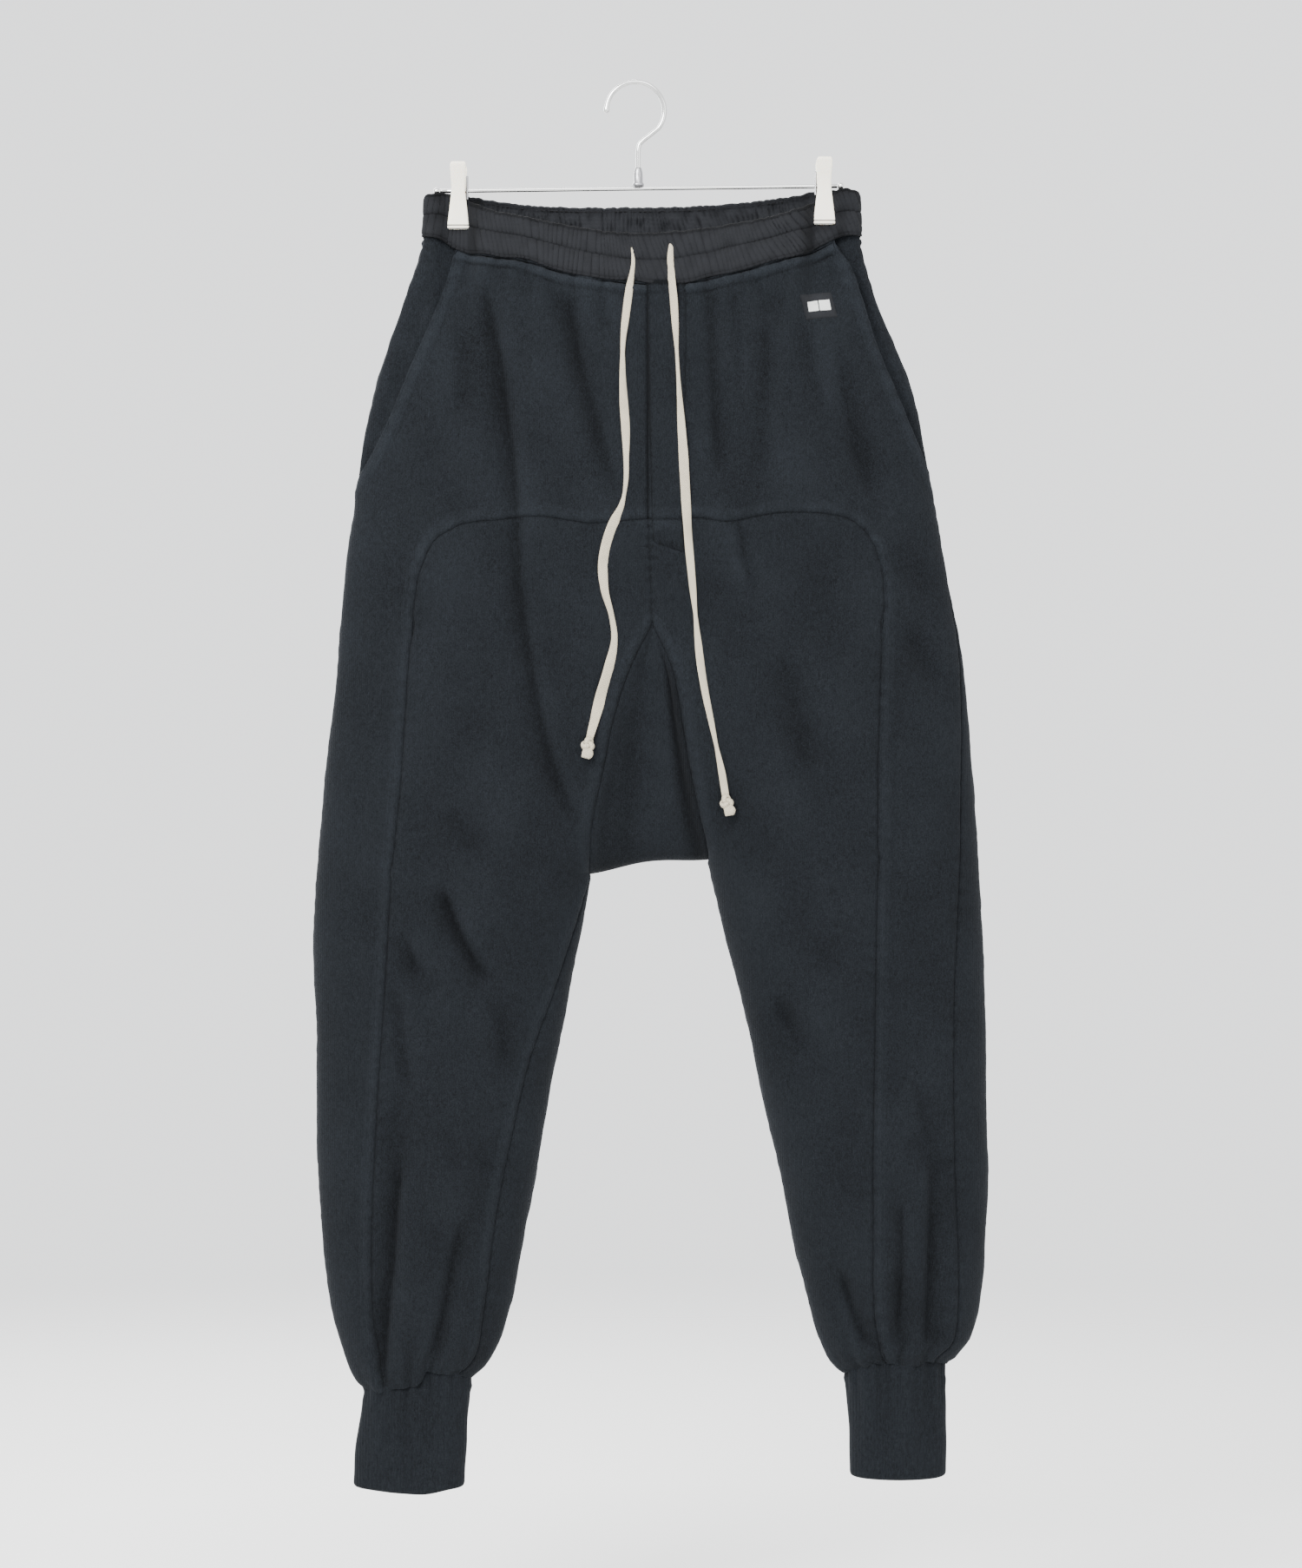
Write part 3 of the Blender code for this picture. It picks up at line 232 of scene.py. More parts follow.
# %% Light
def table(columns, rows):
    """Rows whose columns have names."""
    row_type = namedtuple("Row", columns)
    return tuple(row_type(*row) for row in rows)


LAMPS = table("name x y z size power", (
    ("key_light", -1400, -2300, 1200, 1.4, 175),
    ("fill_light", 2000, -2200, 300, 1.8, 26),
    ("top_light", 200, -1500, 1400, 1.2, 30),
    ("back_light", -900, 2300, 700, 1.8, 110),
))
LIGHT_AIM = Vector((10.0, 0.0, -560.0))
WORLD_TONE = (0.93, 0.94, 0.95, 1.0)

for lamp in LAMPS:
    light = bpy.data.lights.new(lamp.name, "AREA")
    light.size = lamp.size
    light.energy = lamp.power
    holder = linked(lamp.name, light, lamp.x, lamp.y, lamp.z)
    holder.rotation_euler = (LIGHT_AIM * MM - holder.location).to_track_quat("-Z", "Y").to_euler()

world = bpy.data.worlds.new("studio")
bpy.context.scene.world = world
world.use_nodes = True
world.node_tree.nodes["Background"].inputs["Color"].default_value = WORLD_TONE
world.node_tree.nodes["Background"].inputs["Strength"].default_value = 2.0
print("lights:", len(LAMPS))

# %% [markdown]
# ## The form of the cloth
#
# Hung flat, each half of the garment is one flattened tube. It could be pressed out of a box or
# simulated, but then neighbours wouldn't meet. Here a point is named by its half, by its turn
# round the tube and by its height: the turn is 0 at the outer side, 1 at the middle of the front,
# 2 at the inside of a leg and -1 at the middle of the back. A table of sections gives the tube's
# edges and depth at each height, and the large creases bend it. Every cut piece is then a patch of
# turn and height, and neighbours meet exactly, because they read the same tables.

# %% Sizes of the form
HALVES = ("left", "right")
FACES = ("front", "back")
INWARDS = {"left": 1, "right": -1}  # towards the garment's middle, across the picture
SQUARENESS = 2.4  # exponent of the flattened tube's section; 2 is an ellipse
FLATNESS = 0.19  # depth to half width of the section that spaces the turns
MIDDLE = 9.4  # the front's middle seam across the picture
APEX_HEIGHT = -448.0  # top of the gusset
CROTCH_HEIGHT = {"left": -653.5, "right": -641.0}
NOTCH_HEIGHT = -336.0  # lower end of the pocket's mouth
LEG_END = {"left": -1079.0, "right": -1073.0}
ROLL = 1.4  # how late the inner leg edges roll back towards the crotch
CLIP_X = {"left": -147.6, "right": 155.5}
CLIP_REACH = 16.5  # half width of the stretch that a clip presses flat
CLIP_LAYER = 3.0  # middle of each layer from the clip's plane
CLIP_LOWEST = -124.0  # the pinch is whole above this height
CLIP_RELAXED = -215.0  # and gone below this one

# %% Sections and edges
SECTIONS = table("height left_outer left_inner right_inner right_outer front back", (
    (-84, -173, 9.4, 9.4, 181.8, 17, 15),
    (-106, -173.5, 9.4, 9.4, 183, 19, 16),
    (-127, -175, 9.4, 9.4, 183.8, 22, 18),
    (-149, -180, 9.4, 9.4, 187.2, 25, 21),
    (-171, -187.9, 9.4, 9.4, 193.4, 28, 24),
    (-192, -195.1, 9.4, 9.4, 201.6, 31, 27),
    (-214, -203, 9.4, 9.4, 211, 34, 30),
    (-257, -215.3, 9.4, 9.4, 226.8, 38, 34),
    (-300, -225.4, 9.4, 9.4, 236.4, 41, 38),
    (-354, -231.6, 9.4, 9.4, 245.5, 43, 41),
    (-397, -238.3, 11, 11, 253.4, 44, 42),
    (-448, -242.5, 13, 13, 262.6, 44, 43),
    (-484, -245.5, -4.6, 29, 268.6, 44, 43),
    (-527, -250.6, -18.9, 37.5, 272.9, 44, 43),
    (-570, -255.6, -27.5, 45, 276.2, 44, 43),
    (-613, -259.2, -37, 54.5, 279.6, 43, 42),
    (-641, -262, -39.6, 61.2, 281.3, 42, 41),
    (-657, -263.5, -41, 64.8, 282.2, 42, 41),
    (-700, -265, -48.2, 74.2, 284.4, 41, 40),
    (-743, -265, -56.2, 85.7, 285.8, 40, 39),
    (-786, -263.4, -64.8, 95.8, 287.3, 39, 38),
    (-829, -262.8, -73, 105, 288, 38, 37),
    (-873, -262.8, -80.6, 115.2, 288.7, 36, 36),
    (-916, -261.4, -87.8, 124.6, 288.7, 35, 35),
    (-959, -257.8, -95.8, 132.5, 287.3, 33, 34),
    (-1002, -252.7, -104.4, 143.3, 283, 31, 32),
    (-1024, -248.4, -110.2, 149, 279.2, 29, 30),
    (-1045, -242.6, -116.6, 156.2, 272.4, 26, 27),
    (-1060, -237.2, -123.6, 163, 262.4, 22, 23),
    (-1068, -232.6, -130, 170, 255.6, 18, 19),
    (-1074, -228.4, -136.6, 176, 253.4, 15, 16),
    (-1080, -222.8, -140.4, 177, 252.8, 13, 14),
    (-1092, -223.6, -142, 178, 253.2, 13, 13),
    (-1132, -229.7, -144.7, 180, 253.4, 14, 14),
    (-1166, -231.6, -146, 180.6, 252.8, 13, 13),
))
# The waistband's edges across the garment; the back stands higher than the drooping front
BAND_EDGES = table("x front_top back_top front_seam back_seam", (
    (-178, -95, -95, -126.5, -126.5),
    (-166, -92.6, -92.6, -127.5, -127),
    (-149, -95, -93.6, -136, -130),
    (-122, -107, -96.5, -143, -136),
    (-95, -113, -100, -146.5, -140),
    (-55, -121.5, -102, -158.5, -143.5),
    (-10, -127.5, -102, -165.5, -144),
    (35, -126, -101.5, -166.5, -143.5),
    (84, -119, -98.5, -156.5, -140),
    (120, -111, -94.5, -146, -136),
    (148, -100, -90.5, -137, -130),
    (168, -89.6, -89.2, -127.5, -126),
    (188, -91, -91, -125.5, -125.5),
))

# %% Seams
def both(columns, first, second, keys=HALVES):
    """Two tables, one for each half of the garment or for each face."""
    return dict(zip(keys, (table(columns, first), table(columns, second))))


# Seams across the front, as picture points in millimetres; the corner splits the leg seam
YOKE_SEAM = both("x height", (
    (9.4, -363), (-10, -364), (-30, -366), (-50, -365), (-65, -362), (-96, -361),
    (-111, -363), (-134, -365), (-144, -367), (-154, -372), (-166, -380), (-172, -390)), (
    (9.4, -363), (27, -363), (56, -362), (70, -365), (82, -364), (106, -359),
    (132, -357), (153, -358), (171, -361), (182, -367), (190, -375), (196, -385)))
LEG_SEAM = both("x height", (
    (-172, -390), (-176, -399), (-182, -426), (-186, -469), (-193, -577), (-200, -649),
    (-207, -757), (-214, -865), (-218, -973), (-215, -1038), (-205, -1079)), (
    (196, -385), (202, -405), (204, -430), (202, -459), (201, -484), (199, -541),
    (198, -649), (196, -793), (195, -937), (198, -1031), (207, -1073)))
POCKET_EDGE = both("x height", (
    (-149, -136), (-162, -178), (-175, -212), (-191, -248), (-205, -283), (-218, -310),
    (-226, -324)), (
    (164, -131), (176, -150), (185, -176), (194, -206), (206, -238), (220, -272),
    (233, -304), (240, -322)))
# Where a seam leaves the silhouette: the right leg's side seam and the left leg's inseam show
SIDE_SEAM_SHIFT = both(
    "height shift", ((-336, 0.0), (-1080, 0.0)),
    ((-336, 0.0), (-470, 2.0), (-600, 12.0), (-793, 27.0), (-950, 24.0), (-1074, 9.0)))
INSEAM_SHIFT = both(
    "height shift", ((-653.5, 0.0), (-690, 4.0), (-740, 10.0), (-800, 19.0), (-866, 23.0),
                     (-950, 24.0), (-1040, 15.0), (-1080, 8.0)), ((-641, 0.0), (-1074, 0.0)))

# %% Creases
# Troughs have a positive depth and ridges a negative one; each bends at its middle
CREASES = both("x0 h0 x1 h1 x2 h2 width depth", (
    (-124, -159, -111, -253, -99, -360, 14, 6.0),
    (-99, -360, -82, -519, -54, -605, 17, 5.0),
    (-60, -177, -47, -217, -18, -317, 13, 4.5),
    (52, -174, 58, -232, 73, -333, 12, 4.0),
    (100, -157, 104, -178, 107, -200, 11, 3.5),
    (154, -217, 179, -302, 197, -346, 16, 4.0),
    (207, -379, 229, -408, 243, -426, 12, 4.5),
    (222, -449, 240, -484, 253, -500, 12, 4.5),
    (125, -476, 136, -534, 154, -576, 17, 4.0),
    (-156, -665, -146, -700, -119, -746, 14, 7.0),
    (-188, -716, -176, -743, -160, -752, 12, 4.0),
    (-189, -799, -201, -952, -205, -1070, 12, 5.0),
    (-150, -933, -160, -1002, -176, -1068, 12, 5.0),
    (-123, -870, -129, -930, -136, -975, 12, 3.0),
    (111, -756, 131, -780, 145, -806, 13, 5.0),
    (226, -868, 240, -884, 258, -906, 11, 3.5),
    (217, -975, 218, -1020, 214, -1058, 11, 4.5),
    (240, -923, 243, -985, 237, -1052, 11, 4.5),
    (167, -980, 178, -1015, 196, -1058, 12, 5.0)), (
    (-120, -150, -112, -230, -98, -305, 15, 4.5),
    (-62, -150, -66, -215, -72, -270, 13, 4.0),
    (28, -150, 32, -240, 40, -330, 14, 4.5),
    (88, -150, 91, -205, 92, -255, 12, 4.0),
    (150, -145, 160, -230, 178, -300, 15, 4.5),
    (-178, -420, -125, -500, -62, -560, 20, 5.5),
    (196, -410, 145, -500, 88, -575, 20, 5.5),
    (-230, -712, -175, -742, -105, -732, 15, 5.5),
    (118, -765, 180, -790, 250, -778, 15, 5.5),
    (-208, -955, -204, -1020, -196, -1066, 12, 5.0),
    (-158, -880, -165, -985, -171, -1064, 13, 4.5),
    (204, -950, 205, -1010, 208, -1056, 12, 5.0),
    (246, -930, 243, -995, 234, -1054, 12, 4.5),
    (172, -990, 180, -1020, 188, -1056, 12, 4.0)), FACES)
print("sections:", len(SECTIONS), "creases:", sum(map(len, CREASES.values())))

# %% The tube
def smooth(knots, values, at):
    """Cubic through the knots with finite-difference slopes; the knots may run either way."""
    knots, values = np.asarray(knots, float), np.asarray(values, float)
    if knots[0] > knots[-1]:
        knots, values = knots[::-1], values[::-1]
    slopes = np.gradient(values, knots)
    at = np.clip(np.asarray(at, float), knots[0], knots[-1])
    cell = np.clip(np.searchsorted(knots, at) - 1, 0, len(knots) - 2)
    step = knots[cell + 1] - knots[cell]
    t = (at - knots[cell]) / step
    return ((1 + 2 * t) * (1 - t) ** 2 * values[cell] + t * (1 - t) ** 2 * step * slopes[cell]
            + t * t * (3 - 2 * t) * values[cell + 1] + t * t * (t - 1) * step * slopes[cell + 1])


def read(rows, key, value, at):
    """One column of a table, smoothly, at any place of another."""
    return smooth([getattr(r, key) for r in rows], [getattr(r, value) for r in rows], at)


def read_straight(rows, key, value, at):
    """The same on straight lines, for a key that may run either way."""
    way = 1 if getattr(rows[0], key) < getattr(rows[-1], key) else -1
    return np.interp(way * np.asarray(at, float), [way * getattr(r, key) for r in rows],
                     [getattr(r, value) for r in rows])


def section(column, height):
    return read(SECTIONS, "height", column, height)


def band_edge(column, x):
    return read(BAND_EDGES, "x", column, x)


def ease(low, high, value):
    """0 below low, 1 above high, and a smooth step between."""
    t = np.clip((np.asarray(value, float) - low) / (high - low), 0.0, 1.0)
    return t * t * (3 - 2 * t)


def hump(value, width):
    """1 where the value is 0, falling away evenly on both sides."""
    return np.exp(-(value / width) ** 2)


def signed_power(value, power):
    return np.sign(value) * np.abs(value) ** power


def flattened(angle):
    """Across and through shares of the flattened section at an angle."""
    return tuple(signed_power(wave(angle), 2 / SQUARENESS) for wave in (np.cos, np.sin))


def run_lengths(points):
    """Distance along a line of flat points, up to each."""
    return np.concatenate(([0.0], np.cumsum(np.hypot(*np.diff(points, axis=0).T))))


def unit(vectors):
    return vectors / np.maximum(np.linalg.norm(vectors, axis=-1), 1e-9)[..., None]


def pairs(first, second):
    """Two rows of numbers as pairs."""
    return np.stack((first, second), axis=1)


# %% Turns
# Equal lengths of cloth round a quarter of the flattened section
QUARTER = np.linspace(0.0, math.pi / 2, 400)
QUARTER_LENGTH = run_lengths(pairs(*flattened(QUARTER)) * (1, FLATNESS))
QUARTER_LENGTH /= QUARTER_LENGTH[-1]


def angle_of(turn):
    """Section angle of a turn, spaced so that equal turns are about equal lengths of cloth."""
    turn = np.asarray(turn, float)
    quarter = np.floor(turn)
    part = turn - quarter
    rise = np.interp(part, QUARTER_LENGTH, QUARTER)
    fall = math.pi / 2 - np.interp(1 - part, QUARTER_LENGTH, QUARTER)
    return quarter * math.pi / 2 + np.where(np.mod(quarter, 2) == 0, rise, fall)


def turn_of(angle):
    """Turn of a section angle between 0 and half a circle."""
    angle = np.asarray(angle, float)
    rise = np.interp(angle, QUARTER, QUARTER_LENGTH)
    fall = 2 - np.interp(math.pi - angle, QUARTER, QUARTER_LENGTH)
    return np.where(angle <= math.pi / 2, rise, fall)


# %% Edges of a half
ABOVE_APEX = [s for s in SECTIONS if s.height >= APEX_HEIGHT]
BELOW_APEX = [s for s in SECTIONS if s.height <= APEX_HEIGHT]


def inner_angle(half, height):
    """Section angle of a half's inner edge: the middle above the gusset, round behind below it."""
    drop = (APEX_HEIGHT - np.asarray(height, float)) / (APEX_HEIGHT - CROTCH_HEIGHT[half])
    return np.arccos(-np.clip(drop, 0.0, 1.0) ** ROLL)


def inner_edge(half, height):
    """Inner edge of a half: the middle of the front above the gusset, shared by both halves."""
    middle = read_straight(ABOVE_APEX, "height", half + "_inner", height)
    leg = read(BELOW_APEX, "height", half + "_inner", height)
    return np.where(np.asarray(height) >= APEX_HEIGHT, middle, leg)


def half_section(half, height):
    """Outer edge, direction inwards and half width of a half's section."""
    outer = section(half + "_outer", height)
    reach = 1 - flattened(inner_angle(half, height))[0]
    return outer, INWARDS[half], np.abs(inner_edge(half, height) - outer) / reach


# %% The cloth
def line_distance(points, x, height, scale=1.0):
    """Signed distance to a line, plus on its right, how far along, and its length.

    The scale is the number of millimetres to a unit of x. It may change from place to place.
    """
    best = np.full(np.broadcast(x, height).shape, np.inf)
    along = np.zeros(best.shape)
    run = 0.0
    typical = float(np.median(scale))
    for start, end in zip(points[:-1], points[1:]):
        dx, dh = (end[0] - start[0]) * scale, end[1] - start[1]
        ox, oh = (x - start[0]) * scale, height - start[1]
        t = np.clip((ox * dx + oh * dh) / np.maximum(dx ** 2 + dh ** 2, 1e-9), 0, 1)
        ox, oh = ox - t * dx, oh - t * dh
        away = np.hypot(ox, oh) * np.where(oh * dx - ox * dh > 0, 1.0, -1.0)
        nearer = np.abs(away) < np.abs(best)
        length = math.hypot((end[0] - start[0]) * typical, dh)
        best = np.where(nearer, away, best)
        along = np.where(nearer, run + t * length, along)
        run += length
    return best, along, run


def crease_depth(face, x, height):
    """How far the creases push one face inwards."""
    total = np.zeros(np.broadcast(x, height).shape)
    for crease in CREASES[face]:
        corners = ((crease.x0, crease.h0), (crease.x1, crease.h1), (crease.x2, crease.h2))
        parts = [line_distance(corners[k:k + 2], x, height) for k in range(2)]
        near, far = (np.abs(part[0]) for part in parts)
        share = np.where(far < near, (1 + parts[1][1] / parts[1][2]) / 2,
                         parts[0][1] / parts[0][2] / 2)
        taper = ease(-0.05, 0.25, share) * (1 - ease(0.75, 1.1, share))
        total = total + crease.depth * taper * hump(np.minimum(near, far), crease.width)
    return total


def clip_press(half, x):
    """1 under a clip's jaws, dying out beside them."""
    return np.exp(-np.abs((x - CLIP_X[half]) / CLIP_REACH) ** 4)


def pinch(half, x, height):
    """How flat the clips hold the cloth, which relaxes on the way down."""
    return clip_press(half, x) * ease(CLIP_RELAXED, CLIP_LOWEST, height)


def cloth(half, turn, height):
    """A point of the cloth's middle surface, in millimetres."""
    turn, height = np.broadcast_arrays(np.asarray(turn, float), np.asarray(height, float))
    across, through = flattened(angle_of(turn))
    outer, inwards, half_width = half_section(half, height)
    x = outer + inwards * half_width * (1 - across)
    is_front = through >= 0
    face = np.where(is_front, -1.0, 1.0)
    y = -np.where(is_front, section("front", height), section("back", height)) * through
    pressed = pinch(half, x, height)
    y = y * (1 - pressed) + face * CLIP_LAYER * pressed * np.minimum(1, np.abs(through) * 4)
    crease = np.where(is_front, crease_depth("front", x, height), crease_depth("back", x, height))
    y = y - face * crease * ease(0.2, 0.9, np.abs(through))
    return np.stack((x, y, height), axis=-1)


# %% Picture points as turns
def front_turn(half, x, height):
    """Turn of the front point that lies at x."""
    outer, inwards, half_width = half_section(half, height)
    across = np.clip(1 - inwards * (np.asarray(x, float) - outer) / half_width, -1, 1)
    return turn_of(np.arccos(signed_power(across, SQUARENESS / 2)))


def even(points, count):
    """A smooth curve through the points, cut into equal runs: count + 1 places."""
    points = np.asarray(points, float)
    run = run_lengths(points)
    fine = np.linspace(0, run[-1], 20 * len(points))
    curve = pairs(*(smooth(run, points[:, k], fine) for k in range(2)))
    length = run_lengths(curve)
    places = np.linspace(0, length[-1], count + 1)
    return pairs(*(np.interp(places, length, curve[:, k]) for k in range(2)))


def turns(half, points):
    """Picture points of the front as pairs of turn and height."""
    x, height = np.asarray(points, float).T
    return pairs(front_turn(half, x, height), height)


def side_turn(half, height):
    """Turn of the side seam, which the right leg shows a little way round the front."""
    shift = read(SIDE_SEAM_SHIFT[half], "height", "shift", height)
    x = section(half + "_outer", height) + INWARDS[half] * shift
    return np.where(shift > 0.01, front_turn(half, x, height), 0.0)


def inseam_turn(half, height):
    """Turn of the inseam below the crotch, which the left leg shows on its front."""
    shift = read(INSEAM_SHIFT[half], "height", "shift", height)
    x = inner_edge(half, height) - INWARDS[half] * shift
    return np.where(shift > 0.01, front_turn(half, x, height), 2.0)


print("the tube is", np.round(np.ptp(cloth("left", (0.0, 2.0), -900.0)[:, 0]), 1),
      "mm wide at a shin")

# %% [markdown]
# ## Small relief
#
# On top of the form come the things that make cloth look like cloth: finer creases, gathers under
# the band and above the cuffs, a soft unevenness, and the ridges and grooves along seams. A bump
# map would do up close but leaves the outline straight, so each is a real height in millimetres
# that is added along the cloth's own outward direction.

# %% Unevenness
def undulation(x, height, size, seed):
    """Smooth irregular waves between about -1 and 1, a size in millimetres apart."""
    rng = np.random.default_rng(seed)
    total = 0.0
    for _ in range(7):
        direction = rng.uniform(0, 2 * math.pi)
        pitch = size * rng.uniform(0.7, 1.6)
        phase = rng.uniform(0, 2 * math.pi)
        along = x * math.cos(direction) + height * math.sin(direction)
        total = total + np.sin(2 * math.pi * along / pitch + phase)
    return total / 3.2


# %% Folds
# The sharper folds that show, each a line of picture points. A fold is a trough with a ridge beside
# it: the lean is 1 where the ridge is on the picture's right of the line, and -1 on its left
FOLDS = both("lean width depth points", (
    (1, 5.5, 2.1, (
     (-127, -163), (-112, -228), (-106, -271), (-101, -311), (-97, -361),
     (-96, -415), (-91, -455), (-84, -497), (-77, -531), (-70, -562), (-58, -592), (-46, -616))),
    (1, 7, 2.2, ((-58, -167), (-53, -199), (-44, -243), (-32, -286), (-22, -322), (-15, -343))),
    (-1, 5, 1.5, ((-73, -171), (-67, -183), (-61, -197))),
    (1, 5, 1.4, ((-31, -178), (-24, -196), (-19, -217))),
    (-1, 9, 1.4, ((-146, -203), (-143, -239), (-145, -282))),
    (-1, 6, 1.8, ((58, -168), (61, -203), (63, -246), (64, -289), (67, -333))),
    (1, 3.5, 2.2, ((99, -160), (103, -171), (108, -183))),
    (1, 8, 1.5, ((106, -192), (107, -246), (104, -289), (107, -333))),
    (1, 7, 1.3, ((81, -167), (84, -217), (83, -268))),
    (1, 8, 1.4, ((138, -196), (145, -239), (153, -289))),
    (-1, 8, 1.6, ((165, -217), (172, -257), (181, -304), (194, -354))),
    (-1, 4, 2.4, ((83, -361), (86, -390), (93, -413), (97, -431))),
    (1, 7, 0.5, ((124, -459), (132, -513), (138, -556), (149, -595), (158, -622))),
    (0, 9, 1.6, ((-157, -599), (-139, -624), (-123, -649))),
    (1, 6, 3.2, ((-162, -660), (-153, -682), (-143, -707), (-130, -731), (-114, -743))),
    (1, 6, 2.0, ((-193, -698), (-182, -727), (-169, -747))),
    (1, 6, 1.6, ((-198, -743), (-193, -779), (-189, -811), (-185, -838))),
    (-1, 9, 1.6, ((-121, -750), (-110, -786), (-112, -826))),
    (1, 5, 2.5, (
     (-192, -888), (-197, -930), (-199, -973), (-204, -1017), (-207, -1060), (-206, -1081))),
    (0, 5, 1.6, ((-135, -883), (-123, -896), (-114, -901))),
    (-1, 5, 2.3, ((-143, -934), (-152, -973), (-158, -1009), (-166, -1042), (-173, -1071))),
    (-1, 3.5, 1.6, ((-123, -1035), (-127, -1049), (-133, -1066))),
    (-1, 6, 1.6, ((113, -750), (122, -773), (135, -793))),
    (0, 10, 1.0, ((145, -729), (163, -714), (186, -696))),
    (-1, 7, 1.0, ((228, -819), (237, -862), (248, -883))),
    (-1, 4.5, 2.0, ((241, -887), (241, -937), (240, -981), (238, -1031), (236, -1057))),
    (1, 4.5, 2.1, ((218, -919), (219, -966), (217, -1009), (215, -1047))),
    (-1, 4.5, 2.3, ((167, -977), (176, -1009), (186, -1038), (195, -1058))),
    (0, 6, 1.6, ((243, -1042), (253, -1038), (270, -1050))),
    (0, 6, 0.9, ((230, -397), (237, -412), (246, -424))),
    (1, 7, 1.3, ((222, -449), (233, -469), (241, -484), (253, -497)))), (
    (1, 6, 2.4, ((-118, -152), (-110, -230), (-98, -330), (-88, -420))),
    (-1, 6, 2.2, ((-60, -150), (-66, -220), (-74, -300))),
    (1, 7, 2.0, ((-30, -150), (-26, -210), (-20, -260))),
    (-1, 6, 2.2, ((34, -150), (38, -250), (46, -350))),
    (1, 6, 2.0, ((92, -148), (94, -210), (92, -280))),
    (-1, 7, 2.4, ((150, -150), (162, -240), (182, -330))),
    (1, 7, 2.8, ((-190, -420), (-140, -490), (-80, -545))),
    (-1, 7, 2.8, ((208, -415), (160, -485), (100, -555))),
    (1, 8, 1.8, ((-150, -520), (-110, -580), (-80, -640))),
    (-1, 6, 3.4, ((-236, -708), (-180, -738), (-110, -730))),
    (1, 6, 2.2, ((-225, -760), (-180, -778), (-130, -770))),
    (-1, 6, 3.2, ((122, -762), (180, -786), (246, -776))),
    (1, 6, 2.0, ((150, -815), (200, -828), (250, -815))),
    (1, 5, 3.0, ((-206, -930), (-203, -1000), (-198, -1072))),
    (-1, 5, 2.8, ((-158, -900), (-164, -985), (-170, -1068))),
    (1, 5, 2.8, ((206, -930), (206, -1000), (210, -1062))),
    (-1, 5, 2.6, ((244, -930), (242, -1000), (236, -1060))),
    (-1, 5, 2.2, ((176, -985), (184, -1025), (192, -1062)))), FACES)


def folds(face, x, height):
    """Height of all the folds of one face."""
    total = np.zeros(np.shape(x))
    for fold in FOLDS[face]:
        away, along, length = line_distance(fold.points, x, height)
        taper = ease(-2.0, 20.0, along) * (1 - ease(length - 26.0, length + 2.0, along))
        width = fold.width * np.where(away * fold.lean > 0, 0.55, 1.0 + 0.4 * abs(fold.lean))
        ridge = hump(away - fold.lean * 1.6 * fold.width, 1.2 * fold.width)
        total += fold.depth * taper * (0.5 * abs(fold.lean) * ridge - hump(away, width))
    return total


print("folds:", sum(map(len, FOLDS.values())))

# %% Sewn lines
def groove(distance, depth, width):
    """The cloth turning in at a seam."""
    return -depth * hump(distance, width)


def plateau(distance, low, high):
    """1 between two distances, with soft steps; each is a pair of where a step starts and ends."""
    return ease(*low, distance) * (1 - ease(*high, distance))


def sewn_band(distance, width=8.0, lift=0.48):
    """The seam allowance under the cloth, held by two rows of stitches."""
    rows = sum(hump(distance - at, 0.7) for at in (2.4, width - 0.8))
    return lift * plateau(distance, (0.2, 2.0), (width, width + 2.2)) - 0.35 * rows


def puckers(distance, along, pitch, lift, reach=9.0):
    """Small pulls across a sewn line, uneven along it."""
    wave = np.sin(2 * math.pi * along / pitch + 1.7 * np.sin(along / 31.0))
    return lift * wave * hump(distance, reach) * (0.6 + 0.4 * np.sin(along / 17.0))


# %% Seams of one half
YOKE_SHARE = 0.66  # share of the yoke seam that faces the waist; the rest faces the pocket
RUN = 60  # points on a seam's fine run; the long ones have twice as many
SIDE_TOP = -127.0  # about where the band's seam meets the side
BACK_WAIST = -135.0  # and its height across the back


def at_turn(turn, heights):
    """A run at one turn."""
    return pairs(np.full(len(heights), turn), heights)


